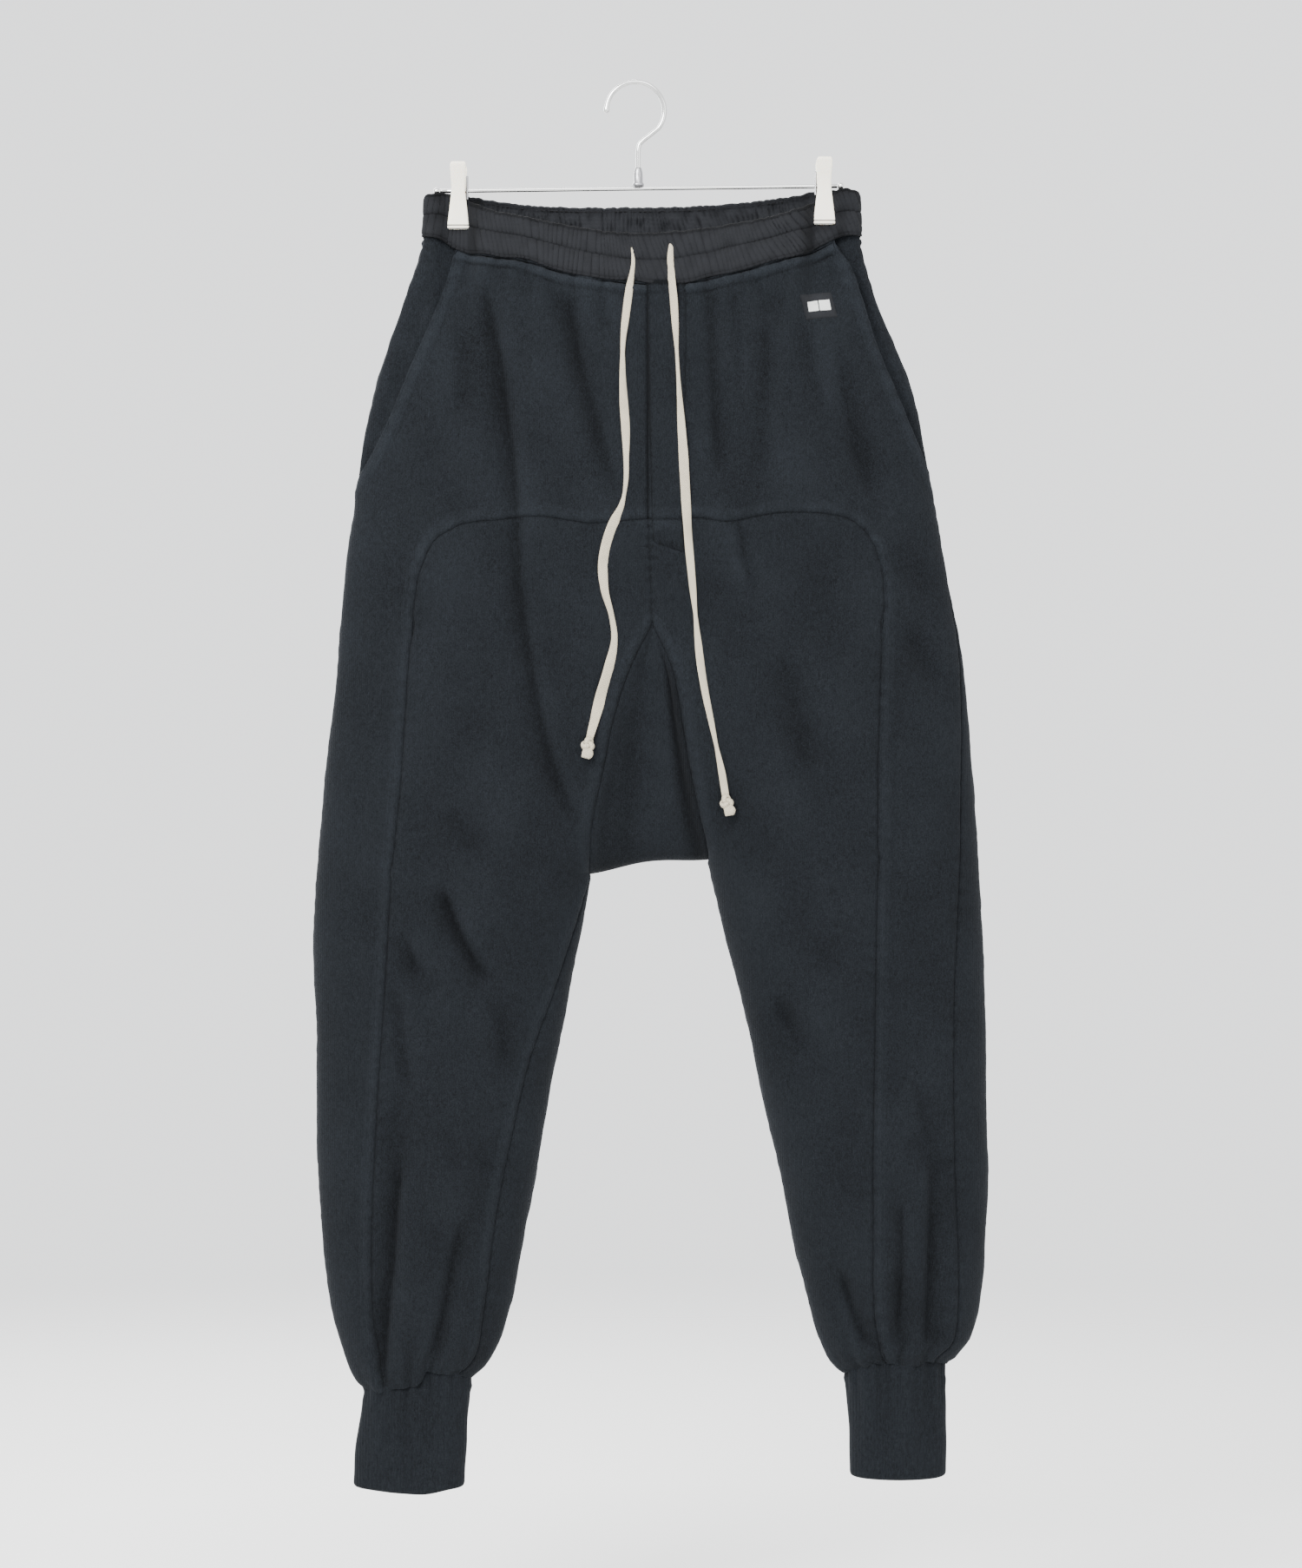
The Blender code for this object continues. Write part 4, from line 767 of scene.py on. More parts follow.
def seams(half):
    """Every seam of one half as a fine run of turn and height."""
    crotch, end = CROTCH_HEIGHT[half], LEG_END[half]
    found = {"fork": at_turn(1.0, np.linspace(YOKE_SEAM[half][0].height, APEX_HEIGHT, 12))}
    gusset = APEX_HEIGHT + (crotch - APEX_HEIGHT) * np.sin(np.linspace(0, 1, RUN) * math.pi / 2)
    found["gusset"] = pairs(turn_of(inner_angle(half, gusset)), gusset)
    inseam = np.linspace(crotch, end, 80)
    found["inseam"] = pairs(inseam_turn(half, inseam), inseam)
    yoke = turns(half, even(YOKE_SEAM[half], RUN))
    yoke[0, 0] = 1.0
    corner = int(round(RUN * YOKE_SHARE))
    found["yoke"] = yoke
    found["yoke_waist"], found["yoke_pocket"] = yoke[:corner + 1], yoke[corner:]
    found["leg"] = turns(half, even(LEG_SEAM[half], 2 * RUN))
    waist_x = np.linspace(MIDDLE, POCKET_EDGE[half][0].x, RUN)
    found["waist"] = turns(half, pairs(waist_x, band_edge("front_seam", waist_x)))
    found["waist"][0, 0] = 1.0
    pocket = turns(half, even(POCKET_EDGE[half], RUN))
    pocket[0] = found["waist"][-1]
    found["pocket"] = np.concatenate((pocket, [[0.0, NOTCH_HEIGHT]]))
    side = np.linspace(NOTCH_HEIGHT, end, 2 * RUN)
    found["side"] = pairs(side_turn(half, side), side)
    side_top = band_edge("back_seam", section(half + "_outer", SIDE_TOP))
    found["upper_side"] = at_turn(0.0, np.linspace(side_top, NOTCH_HEIGHT, RUN))
    middle_top = band_edge("back_seam", MIDDLE)
    found["back_middle"] = at_turn(-1.0, np.linspace(middle_top, APEX_HEIGHT, RUN))
    across = np.linspace(0, -1, RUN)
    back_x = cloth(half, across, BACK_WAIST)[:, 0]
    found["back_waist"] = pairs(across, band_edge("back_seam", back_x))
    found["back_waist"][0, 1], found["back_waist"][-1, 1] = side_top, middle_top
    found["centre"] = np.array([[1.0, found["waist"][0, 1]], [1.0, yoke[0, 1]]])
    return found


SEAMS = {half: seams(half) for half in HALVES}
print("seams of a half:", ", ".join(SEAMS["left"]))

# %% Gathers
WAIST_GATHER = 8.6  # spacing of the small gathers under the band
WAIST_REACH = 15.0  # how far down they run
WAIST_TACKS = (-92.0, -54.0, 57.0, 98.0)  # where the waist seam is caught down
ANKLE_GATHERS = table("count reach lift", ((9, 26.0, 0.45), (4, 70.0, 0.7)))


def waist_gathers(face, x, height):
    """Ripples that hang from the waist seam and die out below it."""
    drop = np.maximum(band_edge(face + "_seam", x) - height, 0.0)
    tacks = sum(hump(x - place, 2.5 + 0.25 * drop) for place in WAIST_TACKS)
    small = np.sin(2 * math.pi * x / WAIST_GATHER + 1.6 * np.sin(x / 19.0) + 0.9 * np.sin(x / 7.1))
    large = np.sin(2 * math.pi * x / 23.0 + 1.9 * np.sin(x / 37.0 + 1.0))
    return (0.5 * small * np.exp(-drop / WAIST_REACH) + 0.7 * large * np.exp(-drop / 42.0)
            - 1.5 * tacks * np.exp(-drop / 9.0))


def ankle_gathers(half, face, x, height):
    """Pleats that fan up from the cuff: short close ones and long wide ones."""
    outer = section(half + "_outer", height)
    across = (x - outer) / (inner_edge(half, height) - outer)
    rise = height - LEG_END[half]
    phase = 0.0 if face == "front" else 1.3
    total = 0.0
    for row in ANKLE_GATHERS:
        wave = np.sin(2 * math.pi * row.count * across
                      + 1.5 * np.sin(5.1 * across + row.count + phase) + phase)
        total = total + row.lift * wave * hump(rise, row.reach)
    return total


# %% [markdown]
# ## From a patch to a dressed shell
#
# A patch is a grid of turns and heights. The form gives each place its point, and two nearby places
# give the outward direction and how many millimetres a quarter turn is there. The relief goes on
# along that direction. The grid becomes a mesh, and Solidify gives it the thickness of the cloth,
# so that open edges look like the edge of real fabric. The relief is also kept on the mesh, and the
# finish paints it into the colour: paler on ridges and raised seam allowances, partly wash wear and
# partly painted light, and darker in grooves and creases, which is painted shade.

# %% Surface
JERSEY_WALL = 1.5
HALF_WALL = 0.8  # the solids' outer face lies this far outside their middle
TURN_STEP = 0.006  # how far to either side the directions are measured
HEIGHT_STEP = 1.0
# Layers of unevenness in the jersey: height of the waves and how far they are apart
UNEVENNESS = table("lift size", ((0.6, 85.0), (0.25, 31.0), (0.1, 9.0)))
FACE_SEED = {"front": 3, "back": 11}


def surface(half, turn, height):
    """Point, outward direction and millimetres for one quarter turn."""
    along_turn = (cloth(half, turn + TURN_STEP, height)
                  - cloth(half, turn - TURN_STEP, height)) / (2 * TURN_STEP)
    along_height = (cloth(half, turn, height + HEIGHT_STEP)
                    - cloth(half, turn, height - HEIGHT_STEP)) / (2 * HEIGHT_STEP)
    out = unit(np.cross(along_turn, along_height)) * INWARDS[half]
    return cloth(half, turn, height), out, np.linalg.norm(along_turn, axis=-1)


def face_relief(half, turn, x, height):
    """Everything that lifts or sinks the cloth apart from its seams."""
    wrapped = np.mod(turn + 2, 4) - 2
    total = np.zeros(np.shape(x))
    pressed = pinch(half, x, height)
    for face, on_face in (("front", wrapped >= 0), ("back", wrapped < 0)):
        value = folds(face, x, height) * ease(0.0, 0.35, 1 - np.abs(np.abs(wrapped) - 1))
        value = value + waist_gathers(face, x, height) * (1 - pressed)
        value = value + ankle_gathers(half, face, x, height)
        uneven = sum(wave.lift * undulation(x, height, wave.size, FACE_SEED[face] + k)
                     for k, wave in enumerate(UNEVENNESS))
        total = np.where(on_face, value + uneven * (1 - 0.8 * pressed), total)
    return total


# %% Hems
# Lower edge of each leg across the picture; it laps over the cuff and steps at its folds
HEM = both("x height", (
    (-232, -1076), (-222, -1078), (-211, -1082), (-205, -1079), (-183, -1077), (-178, -1072),
    (-175, -1064), (-163, -1066), (-150, -1067), (-138, -1070)), (
    (174, -1065), (181, -1061), (190, -1060), (196, -1055), (201, -1058), (212, -1056),
    (220, -1060), (230, -1059), (240, -1055), (250, -1057), (260, -1062)))
HEM_PUFF = 2.4
HEM_REACH = 45.0  # height above the edge over which its unevenness fades


def hemmed(half, point, lift):
    """Let the leg's lower edge lap over the cuff, puffed out, along its own uneven line."""
    rise = point[..., 2] - LEG_END[half]
    edge = read_straight(HEM[half], "x", "height", point[..., 0])
    point = point.copy()
    point[..., 2] += (edge - LEG_END[half]) * (1 - ease(0.0, HEM_REACH, rise))
    return point, lift + HEM_PUFF * hump(rise - 6.0, 11.0)


# %% Shells
AREAS = {}
cloth_pieces = {}


def spaced(length, cell):
    """Shares of a run, close together at both ends where the seams are."""
    close = np.array((0.0, 0.7, 1.5, 2.4, 3.6, 5.2, 7.0, 9.0, 11.0))
    count = max(2, int(round((length - 2 * close[-1]) / cell)))
    middle = np.linspace(close[-1], length - close[-1], count + 1)
    return np.concatenate((close[:-1], middle, (length - close[:-1])[::-1])) / length


def piece_of(name, points, faces, finish, clean=()):
    """A piece from points in millimetres that rides on the root; clean names what bmesh mends."""
    mesh = bpy.data.meshes.new(name)
    mesh.from_pydata((np.asarray(points, float).reshape(-1, 3) * MM).tolist(), [], faces)
    if clean:
        work = bmesh.new()
        work.from_mesh(mesh)
        if "doubles" in clean:
            bmesh.ops.remove_doubles(work, verts=work.verts, dist=1e-7)
        bmesh.ops.recalc_face_normals(work, faces=work.faces)
        work.to_mesh(mesh)
        work.free()
    mesh.shade_smooth()
    mesh.materials.append(finish)
    piece = linked(name, mesh, 0, 0, 0)
    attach(piece, "root")
    return piece


def shell(name, grid, lift, wall, finish, out, closed=False):
    """A thin sheet over a grid of points in millimetres; a closed one ends where it starts."""
    facing = np.cross(grid[1:, 1:] - grid[:-1, :-1], grid[:-1, 1:] - grid[1:, :-1])
    step = -1 if (facing * out[:-1, :-1]).sum() < 0 else 1
    AREAS[name] = float(np.linalg.norm(facing, axis=-1).sum() / 2) * MM * MM
    if closed:
        grid, lift = grid[:, :-1], lift[:, :-1]
    index = np.arange(grid[..., 0].size).reshape(grid.shape[:2])
    if closed:
        index = np.append(index, index[:, :1], axis=1)
    quads = np.stack((index[:-1, :-1], index[:-1, 1:], index[1:, 1:], index[1:, :-1]), axis=-1)
    piece = piece_of(name + "_cloth", grid, quads.reshape(-1, 4)[:, ::step].tolist(), finish)
    # The kept value paints the colour: shade in grooves and creases, light on ridges, beside wash
    # wear
    kept = piece.data.attributes.new("lift", "FLOAT", "POINT")
    kept.data.foreach_set("value", lift.reshape(-1))
    thick = piece.modifiers.new("Thickness", "SOLIDIFY")
    thick.thickness = wall * MM
    thick.offset = -1.0
    cloth_pieces[name] = piece
    print(name, "covers", round(AREAS[name], 4), "square metres")


# %% [markdown]
# ## Finishes of the cloth
#
# The jersey is a dark washed navy: two close tones mixed as the fibres are, fine upright wales,
# paler where the cloth stands up, partly wash wear and partly painted light, and darker in its
# grooves, which is painted shade. The band is a plain weave of brownish black, painted darker in
# the valleys of its gathers, and the band behind has a paler copy of that weave that paints light
# onto its shaded inside. A photograph of cloth would repeat and show its edges, so all the pattern
# comes from nodes and runs on over every piece.

# %% Jersey
NAVY_DARK = (0.0016, 0.0019, 0.0024)
NAVY_PALE = (0.0122, 0.0146, 0.0180)


def jersey_finish(name, wale, bump_depth, shade_and_wear=0.9):
    """Matt knitted cotton, fine upright wales; the last argument scales the relief's painted shade
    and wear.
    """
    finish = Finish(name)
    fibres = finish.noise(1100.0, 3.0, 0.65, (1.0, 1.0, 0.8))
    slubs = finish.noise(420.0, 2.0, 0.6, (1.0, 1.0, 0.6))
    clouds = finish.noise(9.0, 3.0, 0.6)
    # Painted shade and light: grooves and creases darker, ridges paler, partly wash wear
    ridge = finish.relief_shade(3.5, 0.14)
    tone = (fibres * 1.7 + slubs * 0.5 + clouds * 0.15 + (ridge - 0.49) * shade_and_wear - 0.76).clamp()
    wales = finish.ribs(wale, "X", 0.8, 40.0)
    loops = finish.noise(900.0, 2.0, 0.5, (1.0, 1.0, 0.6))
    finish.bump(wales * 0.5 + loops * 0.8 + slubs * 0.6, bump_depth)
    return finish.set(Base_Color=finish.mix(tone, NAVY_DARK, NAVY_PALE),
                      Roughness=fibres * 0.1 + 0.88,
                      Sheen_Weight=0.03, Sheen_Roughness=0.5, Sheen_Tint=(0.7, 0.75, 0.85, 1.0),
                      Specular_IOR_Level=0.08)


jersey = jersey_finish("washed_navy_jersey", 0.0013, 0.0004)
facing_jersey = jersey_finish("pocket_jersey", 0.0013, 0.0004)
cuff_knit = jersey_finish("cuff_rib_knit", 0.0024, 0.0005, 0.3)

# %% Woven cloths and threads
WEAVES = table("name dark pale pitch depth", (
    ("black_band_weave", (0.0022, 0.0023, 0.0027), (0.0150, 0.0157, 0.0179), 0.0009, 0.0003),
    # A paler copy of the band's weave paints light onto the inside of the band behind, which lies
    # in shade
    ("black_band_weave_behind", (0.0055, 0.0058, 0.0066), (0.0270, 0.0283, 0.0322), 0.0009, 0.0003),
    ("label_tape", (0.0040, 0.0042, 0.0050), (0.0230, 0.0240, 0.0270), 0.0006, 0.0002),
    ("pale_woven_field", (0.40, 0.41, 0.40), (0.72, 0.73, 0.71), 0.0007, 0.00025),
    ("navy_thread", (0.0060, 0.0070, 0.0090), (0.0240, 0.0275, 0.0330), 0.0005, 0.0002),
    ("black_thread", (0.0040, 0.0040, 0.0040), (0.0200, 0.0190, 0.0190), 0.0005, 0.0002),
    ("buttonhole_dark", (0.003, 0.003, 0.003), (0.006, 0.006, 0.006), 0.0006, 0.0002),
))


def woven_finish(row):
    """A plain weave: threads across and threads up, a pitch apart."""
    finish = Finish(row.name)
    fibres = finish.noise(1200.0, 3.0, 0.6)
    clouds = finish.noise(20.0, 2.0, 0.5)
    across = finish.ribs(row.pitch, "Z", 0.5, 60.0)
    upright = finish.ribs(row.pitch, "X", 0.5, 60.0)
    # Painted shade and light: grooves of the kept relief darker, ridges paler
    tone = (fibres * 0.5 + clouds * 0.2 + finish.relief_shade(2.0, 0.3) * 0.8 - 0.3).clamp()
    finish.bump(across * 0.5 + upright * 0.5 + fibres * 0.5, row.depth)
    return finish.set(Base_Color=finish.mix(tone, row.dark, row.pale),
                      Roughness=fibres * 0.1 + 0.82,
                      Sheen_Weight=0.02, Sheen_Roughness=0.4, Specular_IOR_Level=0.06)


woven = {row.name: woven_finish(row) for row in WEAVES}
print("weaves:", len(woven))

# %% [markdown]
# ## The cut pieces
#
# A maker would cut a front side, a front leg and a back for each half, two gusset faces, two pocket
# facings and a fly placket. Each becomes one shell. A side piece is ruled between two chains of
# seams. A leg and a back are filled in from their four edges. Each piece then reads how far it is
# from its own seams and gets the ridges, grooves and puckers that belong to them.

# %% Patches
# Number of cells in each run of a seam, so that neighbours have the same points on it
WAIST_CELLS = 7
POCKET_CELLS = 5
CENTRE_CELLS = 3
GUSSET_CELLS = 6
INSEAM_CELLS = 12
UPPER_BACK_CELLS = 8
LEG_CELLS = CENTRE_CELLS + GUSSET_CELLS + INSEAM_CELLS
CELL = 3.6  # millimetres between points away from the seams
ROWS_PER_CELL = 9
BACK_PITCH = 3.9  # and across the back
EDGE_ROWS = (0.0007, 0.0015, 0.0025, 0.0038, 0.0055, 0.0075)
QUARTER_WIDTH = 240.0  # millimetres for a quarter turn, for spacing points along a seam


def row_places(cells):
    """Shares down a piece, whole numbers of rows to a cell, close together at both ends."""
    even_rows = np.linspace(0, 1, cells * ROWS_PER_CELL + 1)
    inner_rows = even_rows[(even_rows > 0.009) & (even_rows < 0.991)]
    return np.concatenate(([0.0], EDGE_ROWS, inner_rows, 1 - np.array(EDGE_ROWS)[::-1], [1.0]))


def chain(runs, shares, at):
    """Places along several runs joined end to end, each taking its share of the whole."""
    places = np.zeros((len(at), 2))
    start = 0.0
    for run, share in zip(runs, shares):
        stop = start + share / float(sum(shares))
        length = run_lengths(run * (QUARTER_WIDTH, 1.0))
        local = (at - start) / (stop - start)
        inside = (local >= -1e-9) & (local <= 1 + 1e-9)
        for k in range(2):
            places[inside, k] = np.interp(local[inside], length / length[-1], run[:, k])
        start = stop
    return places


def between(first, second, share):
    return first * (1 - share) + second * share


def ruled(first, second, columns):
    """Places between two runs, on straight lines of turn and height."""
    return between(first[:, None, :], second[:, None, :], columns[None, :, None])


def filled(top, bottom, left, right, rows, columns):
    """Places inside four runs that meet at their ends."""
    down, over = rows[:, None, None], columns[None, :, None]
    corners = between(between(top[0], top[-1], over), between(bottom[0], bottom[-1], over), down)
    return ruled(left, right, columns) + between(top[None], bottom[None], down) - corners


# %% Seam rules
def tucked(distance, along):
    """The cloth going in under the band: a deep uneven line, a raised strip and a stitch row."""
    strength = 1.5 + 1.2 * np.sin(along / 13.0 + 0.8) * np.sin(along / 29.0)
    return (puckers(distance, along, 11.0, 0.3, 8.0) - strength * hump(distance - 2.4, 1.3)
            + plateau(distance, (3.2, 4.2), (8.0, 8.8)) - 1.3 * hump(distance - 9.6, 1.0))


def plain_seam(distance, along):
    return groove(distance, 1.6, 1.2) + puckers(distance, along, 14.0, 0.22)


SEAM_KINDS = {
    "soft": lambda d, a: groove(d, 0.6, 1.6) + puckers(d, a, 9.0, 0.5, 6.0),
    "plain": plain_seam,
    "band": lambda d, a: plain_seam(d, a) + sewn_band(d),
    "ridge": lambda d, a: plain_seam(d, a) + 0.6 * hump(d - 5.0, 3.6),
    "hem": lambda d, a: sewn_band(d, 9.0, 0.7) + puckers(d, a, 19.0, 0.35, 14.0),
    "fly": lambda d, a: groove(d, 2.6, 1.5),
    "tuck": tucked,
}
MOST_POINTS = 26  # of a seam's run, which is enough to measure from
# How strongly folds, seams and hollows show in the colour: ridges and raised seam allowances
# paler, partly wash wear and partly painted light; grooves, the line under the band and creases
# darker, which is painted shade
FOLD_SHADE_AND_WEAR, SEAM_SHADE_AND_WEAR, HOLLOW_SHADE = 0.7, 2.2, 0.15


def seam_relief(rules, turn, height, quarter):
    """Sum of what each seam does to the cloth near it, and how free the cloth is from the band."""
    total, free = np.zeros(turn.shape), 1.0
    for run, kind in rules:
        short = run[np.linspace(0, len(run) - 1, min(len(run), MOST_POINTS)).astype(int)]
        distance, along, _ = line_distance(short, turn, height, quarter)
        distance = np.abs(distance)
        total += SEAM_KINDS[kind](distance, along)
        if kind == "tuck":
            free = ease(0.2, 2.2, distance)
    return total, free


def dressed_patch(name, half, places, rules):
    """One cut piece as a shell."""
    turn, height = places[..., 0], places[..., 1]
    point, out, quarter = surface(half, turn, height)
    x = point[..., 0]
    relief = face_relief(half, turn, x, height)
    sewing, free = seam_relief(rules, turn, height, quarter)
    # The creases' depth only darkens the colour: painted shade in their hollows
    hollow = crease_depth("back" if name == "back" else "front", x, height)
    point, lift = hemmed(half, point, (relief + sewing) * free)
    shell(name + "_" + half, point + out * (HALF_WALL + lift)[..., None],
          FOLD_SHADE_AND_WEAR * relief + SEAM_SHADE_AND_WEAR * sewing - HOLLOW_SHADE * hollow, JERSEY_WALL, jersey, out)


# %% Front sides, front legs and backs
BACK_INSEAM = (4, 0)  # the back's inseam is met after a whole turn

for half in HALVES:
    run = SEAMS[half]
    shares = (WAIST_CELLS, POCKET_CELLS, LEG_CELLS)
    rows = row_places(sum(shares))
    inner = chain((run["yoke_waist"], run["yoke_pocket"], run["leg"]), shares, rows)
    outer = chain((run["waist"], run["pocket"], run["side"]), shares, rows)
    dressed_patch("front_side", half, ruled(inner, outer, spaced(165.0, CELL)), (
        (run["yoke"], "band"), (run["leg"], "band"), (run["centre"], "fly"), (run["pocket"], "hem"),
        (run["side"], "plain"), (run["waist"], "tuck")))

    rows, columns = row_places(LEG_CELLS), spaced(190.0, CELL)
    left = chain((run["leg"],), (1,), rows)
    right = chain((run["fork"], run["gusset"], run["inseam"]),
                  (CENTRE_CELLS, GUSSET_CELLS, INSEAM_CELLS), rows)
    top = chain((run["yoke"][::-1],), (1,), columns)
    bottom = between(run["leg"][-1], run["inseam"][-1], columns[:, None])
    dressed_patch("front_leg", half, filled(top, bottom, left, right, rows, columns), (
        (run["yoke"], "plain"), (run["leg"], "plain"), (run["fork"], "soft"),
        (run["gusset"], "ridge"), (run["inseam"], "band")))

    rows, columns = row_places(UPPER_BACK_CELLS + LEG_CELLS), spaced(260.0, BACK_PITCH)
    back_gusset, back_inseam = run["gusset"] * (-1, 1), run["inseam"] - BACK_INSEAM
    outer = chain((run["upper_side"], run["side"]), (UPPER_BACK_CELLS, LEG_CELLS), rows)
    inner = chain((run["back_middle"], back_gusset, back_inseam),
                  (UPPER_BACK_CELLS + CENTRE_CELLS, GUSSET_CELLS, INSEAM_CELLS), rows)
    top = chain((run["back_waist"],), (1,), columns)
    bottom = between(outer[-1], inner[-1], columns[:, None])
    dressed_patch("back", half, filled(top, bottom, outer, inner, rows, columns), (
        (run["back_middle"], "band"), (back_gusset, "ridge"), (back_inseam, "plain"),
        (run["side"], "plain"), (run["upper_side"], "plain"), (run["back_waist"], "tuck")))

# %% [markdown]
# ## The gusset
#
# Between the legs sits a dropped gusset, front and back. It hangs a little behind the leg seams,
# folds softly towards its middle, and its lower edge arches up where the two faces meet. Its sides
# are the leg seams, so it is ruled from one to the other and then pushed back.

# %% Gusset
GUSSET_SIZE = (84, 46)  # rows and columns
GUSSET_PITCH = 2.6
GUSSET_INSET = 0.9  # how far its sides lie under the legs' outer face
GUSSET_RECESS = 9.0  # how far it lies back between the legs
GUSSET_RISE = 4.5  # how far its lower edge arches up in the middle
GUSSET_LENGTH = 205.0
GUSSET_STITCHES = 13.0  # height of a stitch row above its lower edge
GUSSET_HOLLOWS = table("across drop width_across width_drop depth", (
    (0.90, 0.45, 0.075, 0.75, 4.5), (0.30, 0.62, 0.14, 0.45, 2.2), (0.12, 0.97, 0.14, 0.05, 1.6),
    (0.12, 0.75, 0.06, 0.35, 1.6)))

for face, name in ((1, "front"), (-1, "back")):
    rows, columns = (spaced(count * GUSSET_PITCH, GUSSET_PITCH) for count in GUSSET_SIZE)
    sides = []
    for half in HALVES:
        run = chain((SEAMS[half]["gusset"] * (face, 1),), (1,), rows)
        point, out, _ = surface(half, run[:, 0], run[:, 1])
        sides.append(point + out * (HALF_WALL - GUSSET_INSET))
    grid = ruled(*sides, columns)
    over, drop = columns[None, :], rows[:, None]
    recess = GUSSET_RECESS * np.sin(math.pi * over) * np.sin(math.pi * drop) ** 0.8
    width = np.linalg.norm(sides[1] - sides[0], axis=1)[:, None]
    edge = np.minimum(over, 1 - over) * width
    lift = 0.3 * undulation(grid[..., 0], grid[..., 2], 38.0, 21)
    for hollow in GUSSET_HOLLOWS:
        lift = lift - hollow.depth * (hump(over - hollow.across, hollow.width_across)
                                      * hump(drop - hollow.drop, hollow.width_drop))
    lift = lift * ease(0.0, 5.0, edge) + 0.5 * ease(0.3, 2.6, edge)
    lift = lift + groove((1 - drop) * GUSSET_LENGTH - GUSSET_STITCHES, 0.35, 0.8)
    grid[..., 1] += face * (recess - lift)
    grid[..., 2] += GUSSET_RISE * np.sin(math.pi * over) ** 2 * drop ** 4
    # Painted shadow: a dark strip along the right seam, where the right leg's edge shades the
    # gusset; the colour also darkens the gusset's hollows as painted shade
    shade = 3.2 * hump((1 - over) * width, 8.0) * ease(0.05, 0.3, drop)
    shell("gusset_" + name, grid, 0.75 * (lift - shade), JERSEY_WALL, jersey,
          np.broadcast_to((0.0, -face, 0.0), grid.shape))

# %% [markdown]
# ## Pockets and placket
#
# Beside each slanted pocket mouth the inner cloth shows. It starts on the side seam and dives in
# under the front, so it is a patch of its own whose depth grows towards the mouth. The fly placket
# and the small sewn patch are flat pieces that lie on the front and follow whatever is below them.

# %% Pocket facings
FACING_ROWS = 70
FACING_ACROSS = 26
FACING_UNDER = 5  # columns under the pocket's edge
FACING_INSET = 6.5  # how far the pocket facing dives in under the pocket's edge
FACING_TOP = {"left": 3.0, "right": 5.9}  # and at the waist, where a clip may hold it flat
FACING_HIDDEN = 12.0  # width of the facing under the pocket's edge
FACING_WALL = 1.1


def facing_places(half):
    """Turn, height and depth under the front of every place on a pocket facing."""
    edge = POCKET_EDGE[half]
    top = SEAMS[half]["upper_side"][0, 1]
    heights = np.linspace(top + 7.0, NOTCH_HEIGHT + 3.0, FACING_ROWS)
    mouth = read_straight(edge, "height", "x", heights)
    visible = front_turn(half, mouth, heights)[:, None]
    hidden = front_turn(half, mouth + INWARDS[half] * FACING_HIDDEN, heights)[:, None] - visible
    shown = np.append(np.linspace(0, 1, FACING_ACROSS), np.ones(FACING_UNDER))[None, :]
    under = np.append(np.zeros(FACING_ACROSS), np.linspace(0.2, 1, FACING_UNDER))[None, :]
    turn = visible * shown + hidden * under
    droop = (edge[0].height - top) * np.minimum(1.0, turn / visible)
    height = heights[:, None] + droop * (1 - ease(0.0, 12.0, top - heights))[:, None]
    at_waist = ease(-175, -150, heights)[:, None]
    depth = FACING_TOP[half] * at_waist + FACING_INSET * (1 - at_waist)
    return turn, height, depth * ease(0.0, 0.75, shown) * (1 - under) + 1.7 * under


for half in HALVES:
    turn, height, depth = facing_places(half)
    point, out, quarter = surface(half, turn, height)
    lift = 0.4 * undulation(point[..., 0], height, 30.0, 31)
    lift = lift + seam_relief([(SEAMS[half]["upper_side"], "plain")], turn, height, quarter)[0]
    # The kept relief paints shade into the seam's groove and the facing's hollows
    shell("pocket_facing_" + half, point + out * (HALF_WALL + lift - depth)[..., None], lift,
          FACING_WALL, facing_jersey, out)


# %% Pieces sewn on top
PLACKET_LIFT = 1.7
YOKE_UNDER = -363.0  # height of the seam that crosses under the placket
PLACKET_END = -392.0
PATCH_PITCH = 1.6  # millimetres between the points of a laid piece


def laid_patch(name, corners, counts, lift_by, wall, finish, margin=0.0, dress=None):
    """A flat piece on the right front between four picture corners: top pair, then low pair."""
    columns, rows = (spaced(count * PATCH_PITCH, PATCH_PITCH) for count in counts)
    top_left, top_right, low_left, low_right = (np.array(corner, float) for corner in corners)
    across, down = columns[None, :, None], rows[:, None, None]
    place = between(between(top_left, top_right, across),
                    between(low_left, low_right, across), down)
    turn = front_turn("right", place[..., 0], place[..., 1])
    point, out, _ = surface("right", turn, place[..., 1])
    below = face_relief("right", turn, point[..., 0], place[..., 1])
    inside = columns[None, :] * np.linalg.norm(top_right - top_left)
    from_top = rows[:, None] * np.linalg.norm(low_left - top_left)
    edge = np.minimum(np.minimum(inside, inside[0, -1] - inside),
                      np.minimum(from_top, from_top[-1, 0] - from_top))
    lift = lift_by * ease(-0.4, 1.2, edge) - margin * hump(edge - 1.6, 0.6)
    painted_line_shade = 0.0
    if dress:
        lift, painted_line_shade = dress(lift, place[..., 0], place[..., 1], inside, from_top)
    # Painted shade: the patch's sunken edges and the placket's dark lines darker in the colour
    shell(name, point + out * (HALF_WALL + below + lift)[..., None],
          painted_line_shade + FOLD_SHADE_AND_WEAR * below + 2.0 * (lift - lift_by), wall, finish, out)


